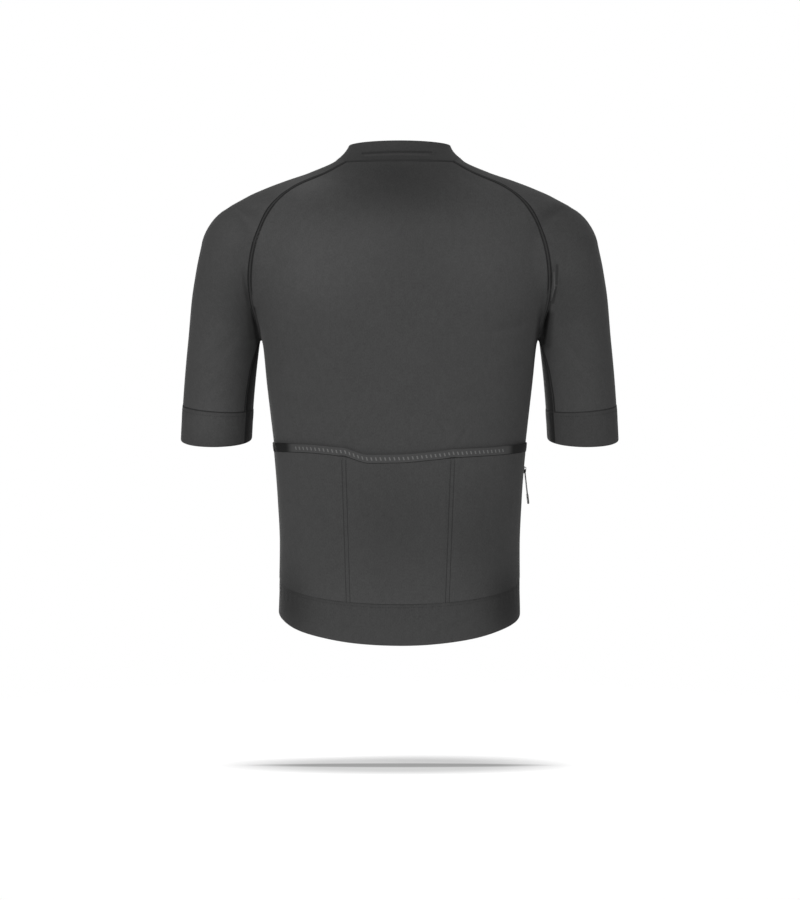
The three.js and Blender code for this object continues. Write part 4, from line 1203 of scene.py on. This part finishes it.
# Zips
frontZipPiece = {
    "halfWidth": 4.65, "thickness": 1.1, "proud": 0.3, "flat": (0.0105, 0.64),
    "toothWidth": 2.6, "toothLift": 0.1, "stitchLift": 0.1,
}
sideZipPiece = {
    "top": -412, "bottom": -540, "nearSeam": 3.5, "width": 9, "thickness": 1.2, "proud": 1.55, "rows": 60,
    "flat": (0.01, 0.13), "toothWidth": 2.2, "toothLift": -0.1, "stitchLift": 0.05,
}


def makeZip(side, grid, normals, look):  # tape, a row of teeth along its middle, a row of stitches near each edge
    def lineAt(column, lift):
        return grid[:, column] + normals[:, column] * (look["proud"] + lift), normals[:, column]

    tooth = {"pitch": 1.5, "size": (1.05, look["toothWidth"], 0.9), "lean": 0, "uneven": 0, "seed": 1}
    clothWall(side + "Zip", side + "_zip", grid, normals, look, zipTape)
    teethLine = lineAt(grid.shape[1] // 2, look["toothLift"])
    repeatAlong(side + "Teeth", [teethLine], tooth, zipTeeth)
    edges = [lineAt(column, look["stitchLift"]) for column in (1, -2)]
    repeatAlong(side + "ZipStitches", edges, needleStitch, thread)


def frontLine():
    ahead = (0, -1, 0)
    up = np.linspace(1, 0, fineness["collarRows"] + 1)[:-1]
    foot = leaveFigure(at(0, 0, cut["frontNeckDrop"]), ahead)
    lower = leaveFigure(at(0, 0, np.concatenate([frontGrid[:, 0, 2], hemGrid[1:, 0, 2]])), ahead)
    return np.concatenate([collarAt(np.repeat(foot[None], len(up), 0), up), lower])


def besideSideSeam(z, inFromSeam):
    edge = frontGrid[:, -1]
    rows = np.arange(len(edge))
    row = np.interp(-z, -edge[rowCount:, 2], rows[rowCount:])
    low = np.minimum(row.astype(int), len(edge) - 2)
    lines = lerp(frontGrid[low], frontGrid[low + 1], (row - low)[:, None, None])[:, ::-1]
    return mirrored(np.array([[np.interp(inFromSeam, arcs(line), column) for column in line.T] for line in lines]))


def makeZips():
    look = frontZipPiece
    line = frontLine()
    grid = np.stack([line + (side * look["halfWidth"], 0, 0) for side in np.linspace(-1, 1, 9)], 1)
    makeZip("front", grid, gridNormals(grid), look)
    look = sideZipPiece
    z = np.linspace(look["top"], look["bottom"], look["rows"] + 1)
    across = look["nearSeam"] + np.linspace(0, look["width"], 7)
    grid = np.stack([besideSideSeam(z, step) for step in across], 1)
    makeZip("side", grid, outward(grid), look)


makeZips()


def bevelledCopy(name, node, body, material):  # the solid itself with its edges eased
    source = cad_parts[node]
    mesh = source.data.copy()
    work = bmesh.new()
    work.from_mesh(mesh)
    work.transform(source.matrix_world)
    bmesh.ops.remove_doubles(work, verts=work.verts, dist=1e-6)
    bmesh.ops.dissolve_limit(work, angle_limit=math.radians(2), verts=work.verts, edges=work.edges)
    work.to_mesh(mesh)
    work.free()
    mesh.materials.clear()
    mesh.materials.append(material)
    piece = addObject(name, mesh)
    bevel = piece.modifiers.new("ease", "BEVEL")
    bevel.width = 0.25 * mm
    bevel.segments = 2
    bevel.limit_method = "ANGLE"
    bevel.angle_limit = math.radians(35)
    bevel.use_clamp_overlap = True
    settleModifiers(piece)
    piece.data.polygons.foreach_set("use_smooth", [True] * len(piece.data.polygons))
    piece.data.set_sharp_from_angle(angle=math.radians(40))
    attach(piece, body)
    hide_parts(node)


bevelledCopy("frontSlider", "front_slider", hollowBody, sliderMetal)
bevelledCopy("sideSlider", "side_slider", hollowBody, sliderMetal)
bevelledCopy("frontPull", "front_pull", "front_zip_pull", softPull)
bevelledCopy("sidePull", "side_pull", "side_zip_pull", softPull)
print("zips set in")

# Floor, light and camera, in metres; the photo's rows and columns in pixels
studio = {
    "floorZ": -0.82, "floorReach": 6, "cameraAway": 3.2, "cameraZ": -0.317, "frameHeight": 1.2195, "sensor": 24.0,
    "frameRows": 900, "axisRow": 394, "axisColumn": 399.7, "frameColumns": 800,
    "floorSolid": 0.3, "floorGone": 1.0, "floorGlow": 0.6, "ambient": 0.2,
    "shadows": [(0.183, 0.016, 0.3, 0.45), (0.225, 0.075, 0.5, 0.47)],  # half width, half depth, softness, depth
    "lamps": [  # name, place, aim, size, power, spread in degrees
        ("keyLeft", (0.85, 2.8, -0.2), (0.05, 0, -0.33), (1.0, 1.2), 36, 180),
        ("topLeft", (1.0, 1.7, 1.3), (0.1, 0.1, -0.15), (0.9, 0.9), 13, 130),
        ("sideRight", (-1.3, 0.5, 0.1), (-0.28, 0, -0.2), (0.5, 0.8), 2.1, 110),
        ("chest", (0.7, -2.7, -0.1), (0, 0, -0.35), (1.4, 1.6), 45, 180),
        ("chestFill", (-1.4, -2.3, 0.3), (0, 0, -0.35), (1.2, 1.4), 14, 180),
    ],
}


def floorFinish():  # pale, and thinning out far away, so that it has no hard horizon
    material, wire = newFinish("paleFloor")
    place = objectPlace(wire)

    def away(stretch):
        return wire.vector("LENGTH", {0: wire.vector("MULTIPLY", {0: place, 1: (*stretch, 0)})}, 1)

    shade = 1.0
    for halfX, halfY, soft, depth in studio["shadows"]:
        shade = shade * away((1 / halfX, 1 / halfY)).ranged(1 - soft, 1 + soft, 1 - depth, 1.0)
    pale = place.noise(40).blend(grey(0.9), grey(0.94))
    return finished(material, {
        "Base Color": wire.vector("SCALE", {0: pale, "Scale": shade}),
        "Alpha": away((1, 1)).ranged(studio["floorSolid"], studio["floorGone"], 1.0, 0.0),
        "Emission Color": wire.vector("SCALE", {0: (1, 1, 1), "Scale": shade}),
        "Emission Strength": studio["floorGlow"], "Roughness": 0.95, "Specular IOR Level": 0.0,
    })


def makeStage():
    mesh = bpy.data.meshes.new("floor")
    reach, z = studio["floorReach"], studio["floorZ"]
    corners = [(x * reach, y * reach, z) for x, y in ((-1, -1), (1, -1), (1, 1), (-1, 1))]
    mesh.from_pydata(corners, [], [(0, 1, 2, 3)])
    mesh.materials.append(floorFinish())
    addObject("floor", mesh)
    world = bpy.data.worlds.new("studio")
    world.use_nodes = True
    background = world.node_tree.nodes["Background"]
    seen = Wire(world.node_tree).node("ShaderNodeLightPath")
    plug(background, "Strength", seen * (1 - studio["ambient"]) + studio["ambient"])
    plug(background, "Color", grey(1))
    bpy.context.scene.world = world


def addLight(name, spot, target, size, power, spread):
    light = bpy.data.lights.new(name, "AREA")
    light.shape = "RECTANGLE"
    light.size, light.size_y = size
    light.energy = power
    light.spread = math.radians(spread)
    lamp = addObject(name, light)
    lamp.location = spot
    lamp.visible_camera = False
    way = np.array(target, float) - spot
    lamp.rotation_euler = (math.atan2(math.hypot(way[0], way[1]), -way[2]), 0, math.atan2(-way[0], way[1]))


def makeCamera():
    camera = bpy.data.cameras.new("camera")
    camera.sensor_fit = "VERTICAL"
    camera.sensor_height = studio["sensor"]
    camera.lens = studio["sensor"] * studio["cameraAway"] / studio["frameHeight"]
    camera.shift_x = (studio["frameColumns"] / 2 - studio["axisColumn"]) / studio["frameRows"]
    camera.shift_y = (studio["axisRow"] - studio["frameRows"] / 2) / studio["frameRows"]
    seen = addObject("camera", camera)
    seen.location = (0, studio["cameraAway"], studio["cameraZ"])
    seen.rotation_euler = (math.pi / 2, 0, math.pi)
    bpy.context.scene.camera = seen


bpy.context.scene.view_settings.view_transform = "Standard"
makeStage()
for lamp in studio["lamps"]:
    addLight(*lamp)
makeCamera()
print("studio set")
